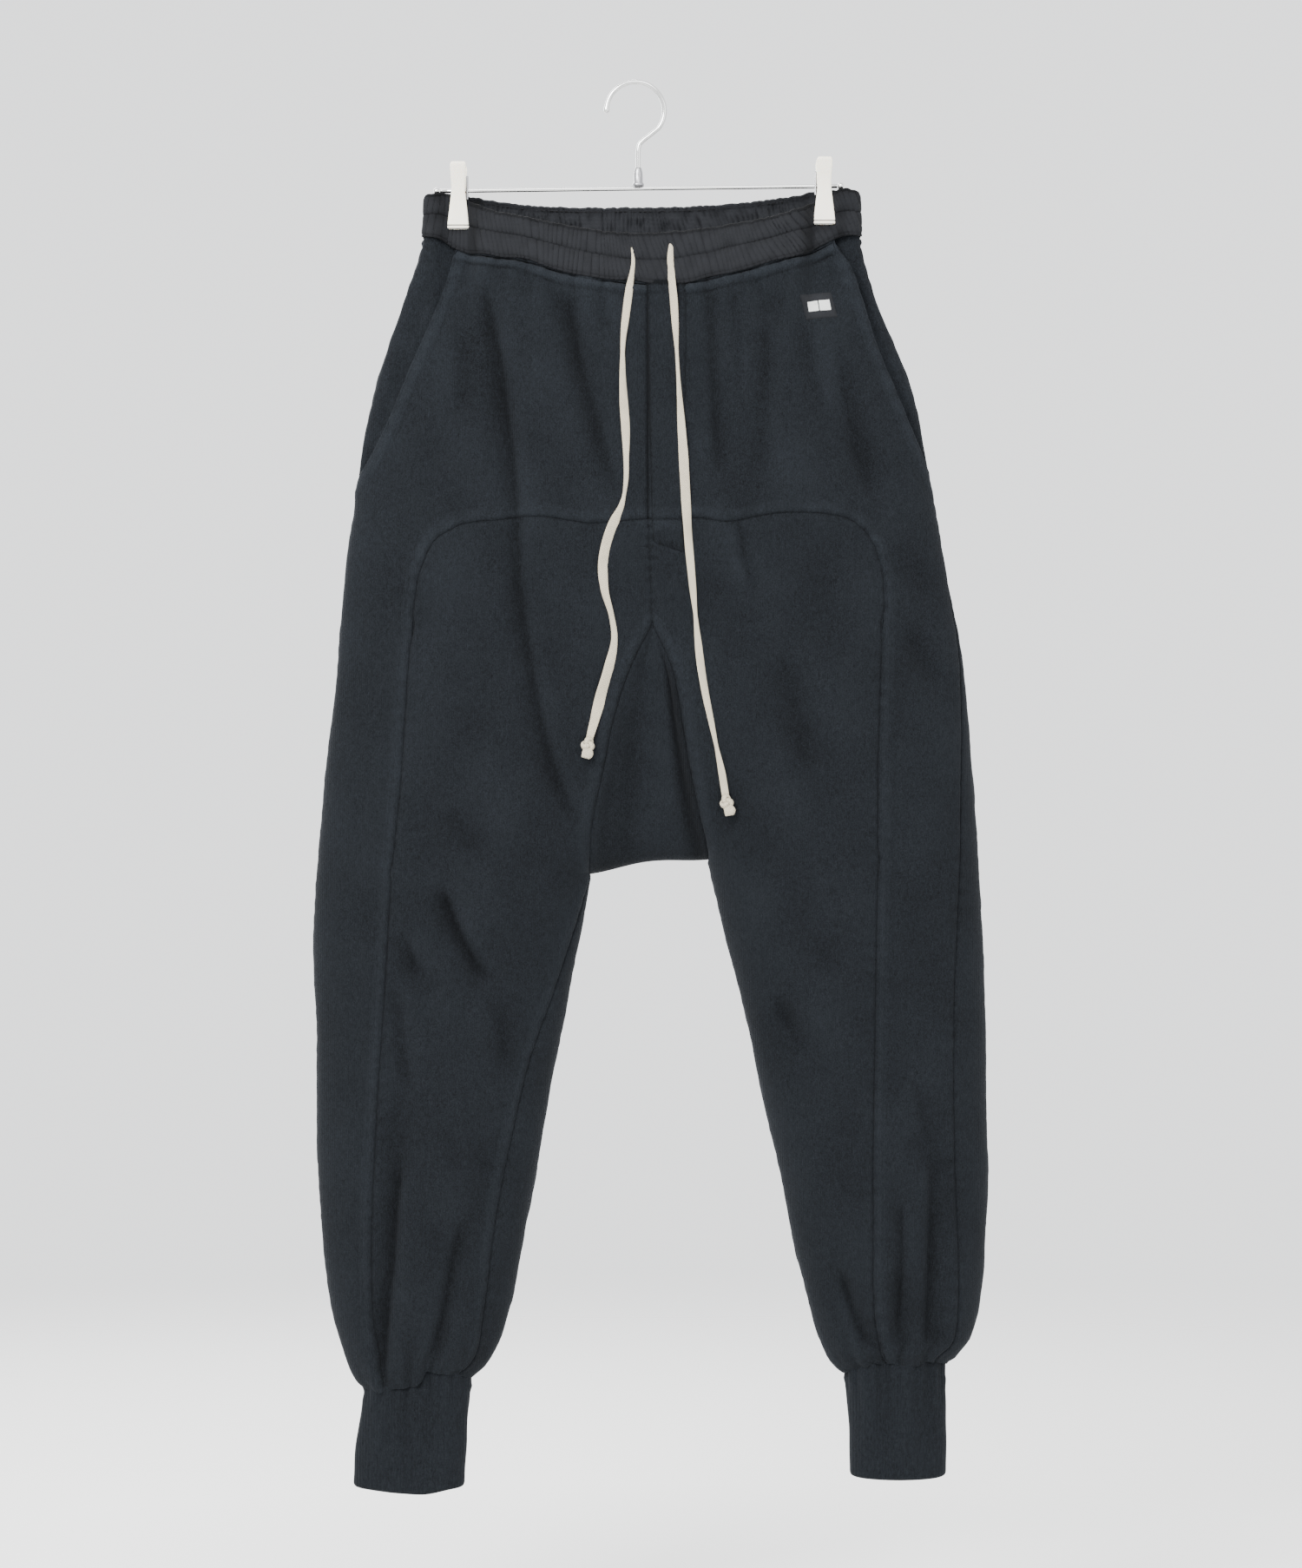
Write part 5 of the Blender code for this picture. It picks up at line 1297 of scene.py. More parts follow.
def placket_dress(lift, x, height, inside, from_top):
    """Seam under the placket, ripples at its end, its stitched top, the fly's groove and painted
    shade.
    """
    over = np.abs(height - YOKE_UNDER)
    lift = lift + groove(over, 0.8, 1.2) + 0.4 * plateau(over, (0.2, 2.0), (8.0, 10.0))
    lift = lift + 0.5 * np.sin(height / 6.3 + x / 9.0) * hump(height - PLACKET_END, 26.0)
    lift = lift - 0.5 * hump(from_top - 10.5, 1.0) - (PLACKET_LIFT + 0.9) * hump(inside, 1.8)
    # Painted shade: a dark line in the fly's groove on the left edge and one under the stitched top
    return lift, -6.0 * hump(inside, 1.7) - 6.0 * hump(from_top - 2.2, 1.5)


PLACKET_TOP = band_edge("front_seam", 25.0) + 1.5
PLACKET = ((7.6, PLACKET_TOP), (40.6, PLACKET_TOP), (12.4, -381.0), (38.8, -390.5))
LABEL = ((134.0, -177.4), (160.6, -174.6), (139.2, -198.4), (165.8, -195.6))
LABEL_FIELD = ((137.6, -182.7), (160.2, -179.9), (139.6, -192.9), (162.0, -190.9))
laid_patch("fly_placket", PLACKET, (20, 140), PLACKET_LIFT, 1.2, jersey, margin=0.4,
           dress=placket_dress)
laid_patch("brand_patch", LABEL, (22, 16), 1.3, 0.9, woven["label_tape"], margin=0.25)
laid_patch("label_field", LABEL_FIELD, (12, 8), 1.75, 0.5, woven["pale_woven_field"])

# %% [markdown]
# ## Cuffs
#
# Each cuff is a tube of doubled rib. It starts inside the leg, under the lap, and its ribs run
# upright all round. The gathers of the leg press into its top and fade out downwards, and its lower
# edge is folded, so it is rounded. The ring of the leg's end is carried down and narrowed, so that
# cuff and leg fit; the ribs are shallow waves round that ring.

# %% Cuffs
CUFF_COLUMNS = 380
CUFF_STEPS = 40
CUFF_END = {"left": -1161.5, "right": -1152.5}
CUFF_TUCK = 20.0  # how far the cuff reaches up inside the leg
CUFF_HALF = 1.2  # half its doubled thickness
CUFF_WALL = 2.3
CUFF_DIP = {"left": 3.0, "right": 1.0}  # sag of the cuff's lower edge in its middle
CUFF_EDGE = (0.965, 0.978, 0.988, 0.995, 1.0)  # rows that round the folded edge
RIB_PITCH = 3.1
CUFF_FOLDS = both("x width depth",
                  ((-214, 7, 1.2), (-190, 6, -1.6), (-172, 7, -1.2), (-158, 6, 1.0)),
                  ((190, 6, 1.6), (205, 7, -1.0), (222, 6, 1.3), (240, 7, -0.9)))
CUFF_SAG = both("x width depth", ((-174, 13, 1.5),), ((214, 25, 0.0),))


def outward_of(points, face=1):
    """Level outward directions of a sheet whose columns run round the garment."""
    tangent = np.gradient(points, axis=1)
    tangent[..., 2] = 0
    tangent = unit(tangent)
    return face * np.stack((tangent[..., 1], -tangent[..., 0], 0 * tangent[..., 0]), axis=-1)


def rounded_edge(share, drop):
    """How far a folded edge curves in: share is 1 at its very edge and 0 where it is flat."""
    return drop * (1 - np.sqrt(np.maximum(0.0, 1 - np.maximum(0.0, share) ** 2)))


for half in HALVES:
    start, end = LEG_END[half], CUFF_END[half]
    turn = np.linspace(-2, 2, CUFF_COLUMNS + 1)
    top = cloth(half, turn, start)
    outer_top = section(half + "_outer", start)
    share = (top[:, 0] - outer_top) / (inner_edge(half, start) - outer_top)
    around = run_lengths(top[:, :2])
    steps = np.append(np.linspace(0, 0.95, CUFF_STEPS), CUFF_EDGE)
    height = (start + CUFF_TUCK + (end - start - CUFF_TUCK) * steps)[:, None]
    drop = start - height
    run = np.clip(drop / (start - end), 0, 1)
    leg_height = np.minimum(height, start)
    outer = section(half + "_outer", leg_height)
    x = outer + share * (inner_edge(half, leg_height) - outer)
    y = top[:, 1] * (1 + run * (section("front", end) / section("front", start) - 1))
    position = np.stack((x, y, height + 0 * x), axis=-1)
    out = outward_of(position)
    if ((position - (x.mean(), y.mean(), 0.0)) * out).sum() < 0:
        out = -out
    ribs = round(around[-1] / RIB_PITCH)
    lift = 0.06 * np.sin(2 * math.pi * ribs * around / around[-1]) + 0 * height
    side = np.where(np.sin(math.pi * turn / 2) >= 0, 1.0, -0.7)
    for fold in CUFF_FOLDS[half]:
        lift = lift + fold.depth * hump(x - fold.x, fold.width) * side * (1 - ease(0.35, 1.0, run))
    pulls = np.sin(2 * math.pi * around / 9.7 + 1.3 * np.sin(around / 13.0))
    lift = lift + 0.55 * pulls * hump(np.maximum(drop, 0), 15.0)
    lift = lift + 0.35 * undulation(x, height, 40.0, 41)
    lift = lift - rounded_edge(1 - (height - end) / 2.2, 1.1)
    sag = CUFF_SAG[half][0]
    dip = CUFF_DIP[half] * np.sin(math.pi * share) ** 2 - 1.5 * np.abs(2 * share - 1) ** 6
    dip = dip + sag.depth * hump(x - sag.x, sag.width)
    position[..., 2] -= dip * run
    grid = position + out * (CUFF_HALF + lift - 1.0 * ease(-2, 4, -drop))[..., None]
    # The kept relief paints faint shade into the cuff's folds and rounded edge, and light on its
    # ridges
    shell("cuff_" + half, grid, lift, CUFF_WALL, cuff_knit, out, closed=True)

# %% [markdown]
# ## The gathered waistband
#
# The band holds two rows of elastic. One row of stitches runs along its middle, and the cloth puffs
# between the rows. The gathers are close, a little uneven and slightly slanted, and they shift at
# the middle row. A cloth simulation would give other gathers each time; waves that are warped by
# slower waves are as uneven, and they stay where they are. The clips press them flat.

# %% Waistband
BAND_COLUMNS = 560
BAND_STEPS = 28
BAND_EDGE = (0.96, 0.975, 0.987, 0.995, 1.0)  # rows that round the folded top
BAND_DEEP = 40.0  # height of the band, for its stitch rows
BAND_WALL = 2.2
STITCH_ROWS = (0.965, 0.045)  # shares of the height, besides the middle row
JAW_FOOT = (-127.0, -120.0)  # heights between which a clip's jaw lets go
Side = namedtuple("Side", "top seam finish shade edge_shade")
# shade sets how strongly the gathers are painted: dark valleys, pale ridges, a darker rounded top;
# the last field paints light back onto the rim of the band behind
BAND_SIDES = {1: Side("front_top", "front_seam", "black_band_weave", 1.8, 0.0),
              -1: Side("back_top", "back_seam", "black_band_weave_behind", 0.6, 0.8)}


def middle_row(x):
    """Share of the band's height at which the middle row of stitches runs."""
    return 0.55 - 0.08 * hump(x - 10.0, 45.0)


def clip_hold(x, height):
    """1 behind a clip's jaw, 0 where the band is free."""
    held = sum(np.exp(-((x - CLIP_X[half]) / 9.5) ** 6) for half in HALVES)
    return held * ease(*JAW_FOOT, height)


def wrinkles(x, pitch, warp):
    """Narrow valleys between rounded ridges: 0 in a valley and 1 on a ridge."""
    return 1 - (1 - np.abs(np.sin(math.pi * x / pitch + warp))) ** 2.6


def band_relief(face, x, share, height, pressed):
    """Gathers, channels and stitch rows of the waistband."""
    row = middle_row(x)
    upper = ease(-0.04, 0.04, share - row)
    lean = 0.05 + 0.35 * ease(-70.0, 90.0, x) + 0.16 * np.sin(x / 19.0 + face)
    slanted = x + lean * (share - 0.5) * BAND_DEEP
    uneven = 1.6 * np.sin(slanted / 17.0 + face) + 1.1 * np.sin(slanted / 7.3 + 2.0) \
        + 0.7 * np.sin(slanted / 3.9)
    ridge = between(wrinkles(slanted, 4.3, uneven),
                    wrinkles(slanted, 3.8, 1.3 * uneven + 1.7 * np.sin(slanted / 13.0)), upper)
    channel = np.where(share > row, (share - row) / (0.985 - row), (row - share) / row)
    puff = np.sin(math.pi * np.clip(channel, 0, 1)) ** 0.6
    swing = np.clip(0.9 + 0.7 * undulation(x, height, 11.0, 51), 0.2, 1.8)
    swing = swing * (1 - 0.8 * np.exp(-((x - 12.0) / 11.0) ** 4) * (1 - upper))
    gathers = (ridge - 0.93) * (0.7 + 0.9 * puff) * swing * 1.7
    gathers = gathers * (1 - 3.4 * pressed * (1 - pressed))
    rows = sum(hump((share - at) * BAND_DEEP, 0.9) for at in (row, *STITCH_ROWS))
    rumple = 0.15 * undulation(x, height, 14.0, 57)
    return (gathers + rumple + 0.6 * puff - 0.55 * rows) * (1 - 0.8 * clip_hold(x, height))


for face, name in ((1, "waistband_front"), (-1, "waistband_back")):
    band = BAND_SIDES[face]
    place = np.linspace(-1, 1, BAND_COLUMNS + 1)
    share = np.append(np.linspace(-0.02, 0.94, BAND_STEPS), BAND_EDGE)[:, None] + 0 * place
    turn = face * (1 - np.abs(place)) + 0 * share
    height = np.full(share.shape, -120.0)
    point = np.zeros(share.shape + (3,))
    for _ in range(4):  # the edges follow x, and x follows the height
        for half, columns in (("left", place < 0), ("right", place >= 0)):
            point[:, columns] = cloth(half, turn[:, columns], height[:, columns])
        x = point[..., 0]
        low = band_edge(band.seam, x)
        settled, height = height, low + (band_edge(band.top, x) - low) * share
    out = outward_of(point, face)
    pressed = np.maximum(clip_press("left", x), clip_press("right", x))
    rim = np.maximum(0.0, 1 - (1 - share) * BAND_DEEP / 1.6)
    lift = band_relief(face, x, share, settled, pressed) - rounded_edge(rim, 0.9)
    scallop = 0.45 * undulation(x, 0 * x, 7.0, 61)
    drape = 1.0 * undulation(x, 0 * x, 34.0, 63)
    point[..., 2] += scallop * ease(0.7, 1.0, share) + drape * (1 - ease(0.0, 0.35, share)) * 0.8
    # The colour paints shade: dark valleys between the gathers, a darker rounded top in front and
    # darker flanks where each clip's pinch turns; light is painted back onto the rim behind
    shell(name, point + out * (1.0 + lift)[..., None],
          band.shade * lift - 5.0 * pressed * (1 - pressed) + band.edge_shade * rim,
          BAND_WALL, woven[band.finish], out)

# %% [markdown]
# ## Finding the cloth again
#
# Cords, stitches and buttonholes lie on cloth that is by now full of relief. Their depth could be
# worked out from the same formulas, but it is simpler to look: a search tree over the front shells
# and one over the back shells give the place of the cloth behind any picture point.

# %% Search trees
def outer_tree(names):
    """Search tree over the outer faces of several shells, in millimetres."""
    points = []
    faces = []
    for name in names:
        mesh = cloth_pieces[name].data
        start = len(points)
        place = np.zeros(len(mesh.vertices) * 3)
        mesh.vertices.foreach_get("co", place)
        points += (place.reshape(-1, 3) / MM).tolist()
        faces += [[start + index for index in face.vertices] for face in mesh.polygons]
    return BVHTree.FromPolygons(points, faces)


FRONT_NAMES = ["waistband_front", "gusset_front", "fly_placket", "brand_patch"] + [
    name + half for name in ("cuff_", "front_side_", "front_leg_", "pocket_facing_")
    for half in HALVES]
BACK_NAMES = ["waistband_back", "gusset_back", "back_left", "back_right", "cuff_left", "cuff_right"]
TREES = {-1: outer_tree(FRONT_NAMES), 1: outer_tree(BACK_NAMES)}


def on_cloth(x, height, face=-1):
    """Place and direction of the cloth at a picture point, or None beside it; face 1 is behind."""
    hit, normal, _, _ = TREES[face].ray_cast(Vector((x, 300.0 * face, height)),
                                             Vector((0, -face, 0)))
    if hit is None:
        return None
    return hit, normal if normal.y * face >= 0 else -normal


print("band front at its middle:", round(on_cloth(MIDDLE, -140.0)[0].y, 1), "mm")

# %% [markdown]
# ## The drawstring
#
# The two free ends are flat cotton cords. They leave the band through buttonholes, wander down the
# front, turn and bunch as they go, and end in knots. A curve with a bevel has one width, so each
# cord is a tube of rings instead, and every ring has its own width and turn. The widths at each
# height were read from the picture. Where a cord looks narrow it has turned and is thicker.

# %% Cord routes
# The free ends of the drawstring, down the front from the buttonholes
CORD_ROUTE = both("x height", (
    (-4.2, -135), (-2.6, -149), (-5.6, -171), (-8.4, -192), (-10.8, -214), (-11.3, -243),
    (-10.2, -268), (-8.8, -289), (-8.4, -311), (-8.6, -332), (-12.0, -351), (-18.2, -365),
    (-24.2, -382), (-27.4, -402), (-25.8, -422), (-20.6, -441), (-18.0, -460), (-21.8, -482),
    (-28.2, -505), (-34.2, -527), (-38.4, -543)), (
    (28.2, -134), (28.0, -147), (28.6, -160), (30.6, -181), (32.0, -203), (33.2, -225),
    (34.4, -246), (35.8, -268), (37.2, -290), (38.6, -311), (39.8, -333), (41.0, -354),
    (42.4, -376), (44.2, -397), (46.2, -419), (48.4, -441), (50.4, -462), (53.0, -484),
    (56.6, -506), (61.0, -527), (65.6, -549), (70.0, -570), (73.2, -590)))
CORD_WIDTHS = both("height width", (
    (-131, 1.4), (-137, 2.4), (-145, 2.7), (-160, 4.2), (-171, 6.2), (-181, 6.6), (-203, 6.2),
    (-214, 4.8), (-225, 3.6), (-246, 5.5), (-268, 7.4), (-289, 7.3), (-311, 4.8), (-333, 4.0),
    (-343, 2.8), (-354, 5.2), (-365, 8.6), (-397, 8.6), (-419, 7.3), (-441, 4.4), (-462, 5.2),
    (-484, 8.7), (-505, 9.7), (-527, 8.4), (-543, 6.0)), (
    (-130, 1.8), (-134, 2.6), (-140, 5.0), (-160, 6.2), (-181, 7.0), (-203, 5.7), (-225, 2.8),
    (-246, 3.2), (-268, 5.0), (-289, 7.1), (-311, 8.1), (-361, 7.7), (-419, 6.0), (-441, 3.2),
    (-462, 5.7), (-484, 7.1), (-505, 6.0), (-527, 5.0), (-549, 3.2), (-570, 6.3), (-590, 6.0)))
CORD_STATION = 2.6
CORD_TURNED = (1.5, 4.0, 9.0)  # widths of its tip, of a turned place and of a flat one
CORD_THICKNESS = (1.2, 2.6, 1.7)  # and the thickness at each
CORD_PHASE = {"left": 0.5, "right": 2.2}
CORD_SIDES = 16
STRAND = 0.00125  # metres between the strands of its weave
STRAND_LEAN = 0.62
BUTTONHOLES = {"left": (-5.0, -131.0), "right": (27.4, -130.3)}

# %% Cord finish
cotton_finish = Finish("raw_cotton_cord")
fibres = cotton_finish.noise(1400.0, 3.0, 0.6)
shade = cotton_finish.noise(60.0, 2.0, 0.5)
cord_run = cotton_finish.node("ShaderNodeTexCoord", "UV")
strands = []
for lean in (STRAND_LEAN, -STRAND_LEAN):
    leaning = cotton_finish.mapped(cord_run, Rotation=(0, 0, lean))
    strands.append(cotton_finish.ribs(STRAND, "X", 0.6, 30.0, leaning))
weave = strands[0] * strands[1]
tone = (fibres * 0.5 + shade * 0.35 + weave * 0.55 - 0.2).clamp()
cotton_finish.bump(weave + fibres * 0.5, 0.0006)
cotton = cotton_finish.set(
    Base_Color=cotton_finish.mix(tone, (0.35, 0.305, 0.22), (0.69, 0.62, 0.48)),
    Roughness=0.88, Sheen_Weight=0.1, Specular_IOR_Level=0.2)
print("finish:", cotton.name)

# %% Rings
def ring_faces(rings, sides):
    """Faces of a tube from rings of points, closed at both ends."""
    faces = []
    for ring in range(rings - 1):
        a = ring * sides
        for k in range(sides):
            after = (k + 1) % sides
            faces.append((a + k, a + after, a + sides + after, a + sides + k))
    return faces + [tuple(range(sides))[::-1], tuple(range((rings - 1) * sides, rings * sides))]


def circle(sides, start=0.0):
    return np.linspace(0, 2 * math.pi, sides, endpoint=False) + start


def ringed(centre, side, front, across, through):
    """Points of rings: each is centre + side * across + front * through."""
    return (centre[:, None, :] + side[:, None, :] * across[None, :, None]
            + front[:, None, :] * through[None, :, None]).reshape(-1, 3)


def ribbon(name, centre, side, front):
    """A flat cord with rounded edges, in millimetres, whose weave runs along it."""
    angle = circle(CORD_SIDES)
    across, through = signed_power(np.cos(angle), 0.75), signed_power(np.sin(angle), 0.85)
    piece = piece_of(name, ringed(centre, side, front, across, through),
                     ring_faces(len(centre), CORD_SIDES), cotton, ("normals",))
    run = np.concatenate(([0.0], np.cumsum(np.linalg.norm(np.diff(centre, axis=0), axis=1))))
    layer = piece.data.uv_layers.new(name="run")
    wide = np.linalg.norm(side, axis=1)
    for loop in piece.data.loops:
        ring, k = divmod(loop.vertex_index, CORD_SIDES)
        layer.data[loop.index].uv = (run[ring] * MM, across[k] * wide[ring] * MM)
    return piece


def softened(values, rounds):
    for _ in range(rounds):
        padded = np.concatenate((values[:1], values, values[-1:]))
        values = (padded[:-2] + padded[1:-1] + padded[2:]) / 3
    return values


# %% Cords
def cord_depth(half, places, width, thick, twist):
    """How far in front of the picture's plane the cord's middle lies, all along it."""
    front = []
    for (x, height), wide in zip(places, width):
        found = [on_cloth(x + step * wide / 2, height) for step in (-0.9, -0.45, 0, 0.45, 0.9)]
        front.append(min(hit[0].y for hit in found if hit is not None))
    front = np.array(front)
    front = softened(np.minimum(front, softened(front, 2)), 2)
    depth = softened(front - thick / 2 - np.abs(np.sin(twist)) * width * 0.32 - 0.3, 2)
    depth[:3] = np.linspace(front[0] + 0.6, depth[3], 3, endpoint=False)
    return depth - 2.4 * ease(0.975, 1.0, np.linspace(0, 1, len(places)))


def build_cord(half):
    route = np.concatenate(([BUTTONHOLES[half]], np.array(CORD_ROUTE[half], float)))
    places = even(route, int(run_lengths(route)[-1] / CORD_STATION))
    width = softened(read_straight(CORD_WIDTHS[half], "height", "width", places[:, 1]), 1)
    thick = np.interp(width, CORD_TURNED, CORD_THICKNESS)
    share = np.linspace(0, 1, len(places))
    twist = 0.30 * np.sin(share * 23.0 + CORD_PHASE[half]) + 0.12 * np.sin(share * 51.0)
    depth = cord_depth(half, places, width, thick, twist)
    centre = np.stack((places[:, 0], depth, places[:, 1]), axis=1)
    along = unit(np.gradient(centre, axis=0))
    side = unit(np.cross(along, (0.0, 1.0, 0.0)))
    facing = np.cross(side, along)
    cos, sin = np.cos(twist)[:, None], np.sin(twist)[:, None]
    wide, deep = (width / 2)[:, None], (thick / 2)[:, None]
    piece = ribbon("drawstring_ribbon_" + half, centre, (side * cos + facing * sin) * wide,
                   (facing * cos - side * sin) * deep)
    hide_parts("drawstring_" + half)
    return piece, centre


KNOT_SCALE = (1.42, 1.5, 1.35)  # across, along and through its turns
KNOT_DROP = 4.8  # from the cord's end to the middle of the knot


def build_knot(half, centre):
    """An overhand knot: the cord's own turns pulled tight, and its cut end below."""
    end = centre[-1]
    down = unit(centre[-1] - centre[-4])
    side = unit(np.cross(down, (0.0, 1.0, 0.0)))
    facing = np.cross(side, down)
    around = np.linspace(0, 2 * math.pi, 97)
    local = np.stack((np.sin(around) + 2 * np.sin(2 * around),
                      np.cos(around) - 2 * np.cos(2 * around), -np.sin(3 * around)), axis=1)
    away = (local * KNOT_SCALE) @ np.stack((side, down, facing))
    path = end + down * KNOT_DROP + away
    tangent = np.gradient(path, axis=0)
    tangent[0] = tangent[-1] = path[1] - path[-2]
    tangent = unit(tangent)
    away = unit(away - (away * tangent).sum(axis=1)[:, None] * tangent)
    turned = ribbon("knot_turns_" + half, path, np.cross(tangent, away) * 2.5, away * 1.7)
    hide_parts("knot_" + half)
    tail = np.linspace(0, 1, 12)[:, None]
    tail_path = (end + down * (6.5 + 9.6 * tail) + side * (1.6 * np.sin(2.6 * tail))
                 + facing * (0.8 * tail))
    spread = 2.2 + 2.5 * np.sin(math.pi * np.minimum(1, tail * 0.86)) ** 0.7
    thickness = 1.5 + 1.4 * np.sin(math.pi * tail * 0.9)
    return [turned, ribbon("knot_end_" + half, tail_path, side * spread, facing * thickness)]


for half in HALVES:
    cord_piece, centre = build_cord(half)
    knot_pieces = build_knot(half, centre)
    tuple(centre[0] * MM)
    (centre * MM).tolist()

# %% [markdown]
# ## The hanger
#
# A bright wire hook swivels in a tapered ferrule on a thin wire bar. Two plastic clips ride on the
# bar. Each has a jaw in front and one behind, a coil spring round the bar and a lip line across its
# foot, which is two dark beads of painted shade under the jaw's lip. All of them are rings of
# points
# along a line: round ones for the wires, turned profiles for the ferrule and knobs, and rounded
# boxes for the jaws.

# %% Hanger finishes
def metal_finish(name, grey, rough):
    finish = Finish(name)
    brushed = finish.noise(900.0, 2.0, 0.5, (1.0, 1.0, 0.1))
    return finish.set(Base_Color=(*grey, 1.0), Metallic=1.0, Roughness=brushed * 0.1 + rough)


steel = metal_finish("polished_wire", (0.68, 0.68, 0.67), 0.12)
dull_steel = metal_finish("grey_steel", (0.34, 0.34, 0.35), 0.3)
lip_shade = metal_finish("lip_shade", (0.12, 0.12, 0.12), 0.5)

cream_finish = Finish("cream_clip_plastic")
cloudy = cream_finish.noise(45.0, 2.0, 0.5)
cream_finish.bump(cream_finish.noise(700.0, 2.0, 0.5), 0.00008)
cream = cream_finish.set(
    Base_Color=cream_finish.mix(cloudy, (0.80, 0.75, 0.63), (0.88, 0.84, 0.73)),
    Roughness=0.36, Specular_IOR_Level=0.5, Subsurface_Weight=0.15,
    Subsurface_Radius=(0.004, 0.003, 0.002))
print("metals and plastic:", steel.name, dull_steel.name, lip_shade.name, cream.name)

# %% Hard pieces
def hard_piece(name, points, faces, finish, node=None):
    """A piece with clean outward faces that may stand for one of the solids."""
    piece = piece_of(name, points, faces, finish, ("doubles", "normals"))
    if node:
        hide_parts(node)
    return piece


def wire_piece(name, points, radii, finish, node=None, sides=20):
    """A round wire with its own radius at each point, in millimetres."""
    points = np.asarray(points, float)
    radii = np.broadcast_to(np.asarray(radii, float), (len(points),))[:, None]
    along = unit(np.gradient(points, axis=0))
    side = np.cross(along, (0.0, 1.0, 0.0))
    weak = np.linalg.norm(side, axis=1) < 0.05
    side[weak] = np.cross(along[weak], (0.0, 0.0, 1.0))
    side = unit(side)
    angle = circle(sides)
    rings = ringed(points, side * radii, np.cross(side, along) * radii,
                   np.cos(angle), np.sin(angle))
    return hard_piece(name, rings, ring_faces(len(points), sides), finish, node)


def turned_piece(name, profile, origin, axis, finish, node, steps=40):
    """A turned piece: pairs of radius and rise along the X or Z axis."""
    radius, rise = (np.array(row, float)[:, None] for row in zip(*profile))
    ring = (radius * np.cos(circle(steps)), radius * np.sin(circle(steps)), rise + np.zeros(steps))
    order = (0, 1, 2) if axis == "Z" else (2, 0, 1)
    points = np.stack([ring[k] for k in order], axis=-1).reshape(-1, 3) + origin
    return hard_piece(name, points, ring_faces(len(profile), steps), finish, node)


# %% Hook, ferrule and bar
HOOK_RADIUS = 24.0
HOOK_CENTRE = (-0.9, -22.0)
HOOK_TURN = (178.0, -36.0)  # degrees at which the hook's round part starts and ends
HOOK_WIRE = 2.0  # radius of its wire
HOOK_NECK = ((11.6, -41.8), (5.4, -46.6), (2.6, -49.6), (1.6, -54.0), (1.4, -60.0), (1.4, -70.5))
HOOK_TIP = table("drop radius", ((2.4, 0.9), (2.0, 1.7), (1.2, 2.3), (0.3, 2.5)))
HOOK_TAPER = (2.5, 2.4, 2.25, 2.1, 2.0)  # from the capped tip to the plain wire
STEM = 1.4  # the stem's place across
BAR_WIRE = 1.7
BAR_ENDS = ((-163.0, -88.5), (166.5, -84.3))
KNOB = ((0.6, -2.4), (1.6, -2.2), (2.4, -1.6), (2.8, -0.8), (2.9, 0.0), (2.8, 0.8), (2.4, 1.6),
        (1.6, 2.2), (0.6, 2.4))


def bar_height(x):
    """Height of the slightly tilted bar at x."""
    (x0, h0), (x1, h1) = BAR_ENDS
    return h0 + (h1 - h0) * (x - x0) / (x1 - x0)


def upright(points):
    """Picture points as places in the hanger's own plane."""
    x, height = np.asarray(points, float).T
    return np.stack((x, 0 * x, height), axis=1)


arc = np.radians(HOOK_TURN[0] - np.linspace(0, 1, 90) * (HOOK_TURN[0] - HOOK_TURN[1]))
hook_line = np.array(HOOK_CENTRE) + HOOK_RADIUS * pairs(np.cos(arc), np.sin(arc))
neck = even(np.concatenate((hook_line[-1:], HOOK_NECK)), 40)
tip = [(-24.75, -21.2 - row.drop) for row in HOOK_TIP]
hook_line = np.concatenate((tip, hook_line, neck[1:]))
hook_radius = np.full(len(hook_line), HOOK_WIRE)
hook_radius[:9] = [row.radius for row in HOOK_TIP] + list(HOOK_TAPER)
wire_piece("hanger_hook_wire", upright(hook_line), hook_radius, steel, "hanger_hook", sides=24)

foot = bar_height(STEM) + BAR_WIRE + 0.1
turned_piece("hanger_ferrule_turned", (
    (2.1, -69.0), (2.5, -69.3), (2.9, -70.6), (3.4, -72.5), (3.7, -75.0), (3.8, foot + 3.2),
    (4.5, foot + 2.6), (4.8, foot + 1.8), (4.8, foot + 0.8), (4.3, foot + 0.1), (3.2, foot)),
    (STEM, 0, 0), "Z", dull_steel, "hanger_ferrule")
bar_x = np.linspace(BAR_ENDS[0][0], BAR_ENDS[1][0], 30)
wire_piece("hanger_bar_wire", upright(pairs(bar_x, bar_height(bar_x))), BAR_WIRE,
           steel, "hanger_bar", sides=18)
for half, (x, height) in zip(HALVES, BAR_ENDS):
    turned_piece("bar_knob_" + half, KNOB, (x - INWARDS[half] * 2.8, 0, height), "X", steel,
                 "bar_end_" + half, steps=28)
print("hook wire:", round(run_lengths(hook_line)[-1]), "mm long")

# %% Clips
JAW = table("rise half_width inner_face outer_face", (
    (23, 5.2, 12.9, 13.6), (22, 6, 12.6, 14.7), (20, 6.7, 12, 14.3),
    (14, 6.4, 10.1, 12.3), (8, 6, 8.2, 10.5), (3, 5.8, 6.9, 9.3), (-2, 5.8, 6.2, 8.7),
    (-6, 6.3, 5.9, 8.4), (-11, 6.9, 5.7, 8.2), (-16, 7.5, 5.6, 8.1), (-21, 8.1, 5.5, 8.1),
    (-27, 8.8, 5.5, 8.2), (-30.5, 9.1, 5.5, 8.3), (-32.2, 8.9, 5.5, 7.8),
    (-32.6, 8.3, 5.6, 7)))
JAW_ROUND = 16
LIP_LINES = table("rise reach", ((-29.2, 8.9), (-32.0, 8.5)))
LIP_RADIUS = 0.42
COIL_TURNS = 6.2
COIL_RADIUS = 3.4
COIL_WIRE = 0.55
COIL_WIDTH = 9.2
SPRING_LEG = 7.1  # from the clip's middle to the spring's leg at its edge
LEG_TOP = 12.0  # the leg's upper end above the bar
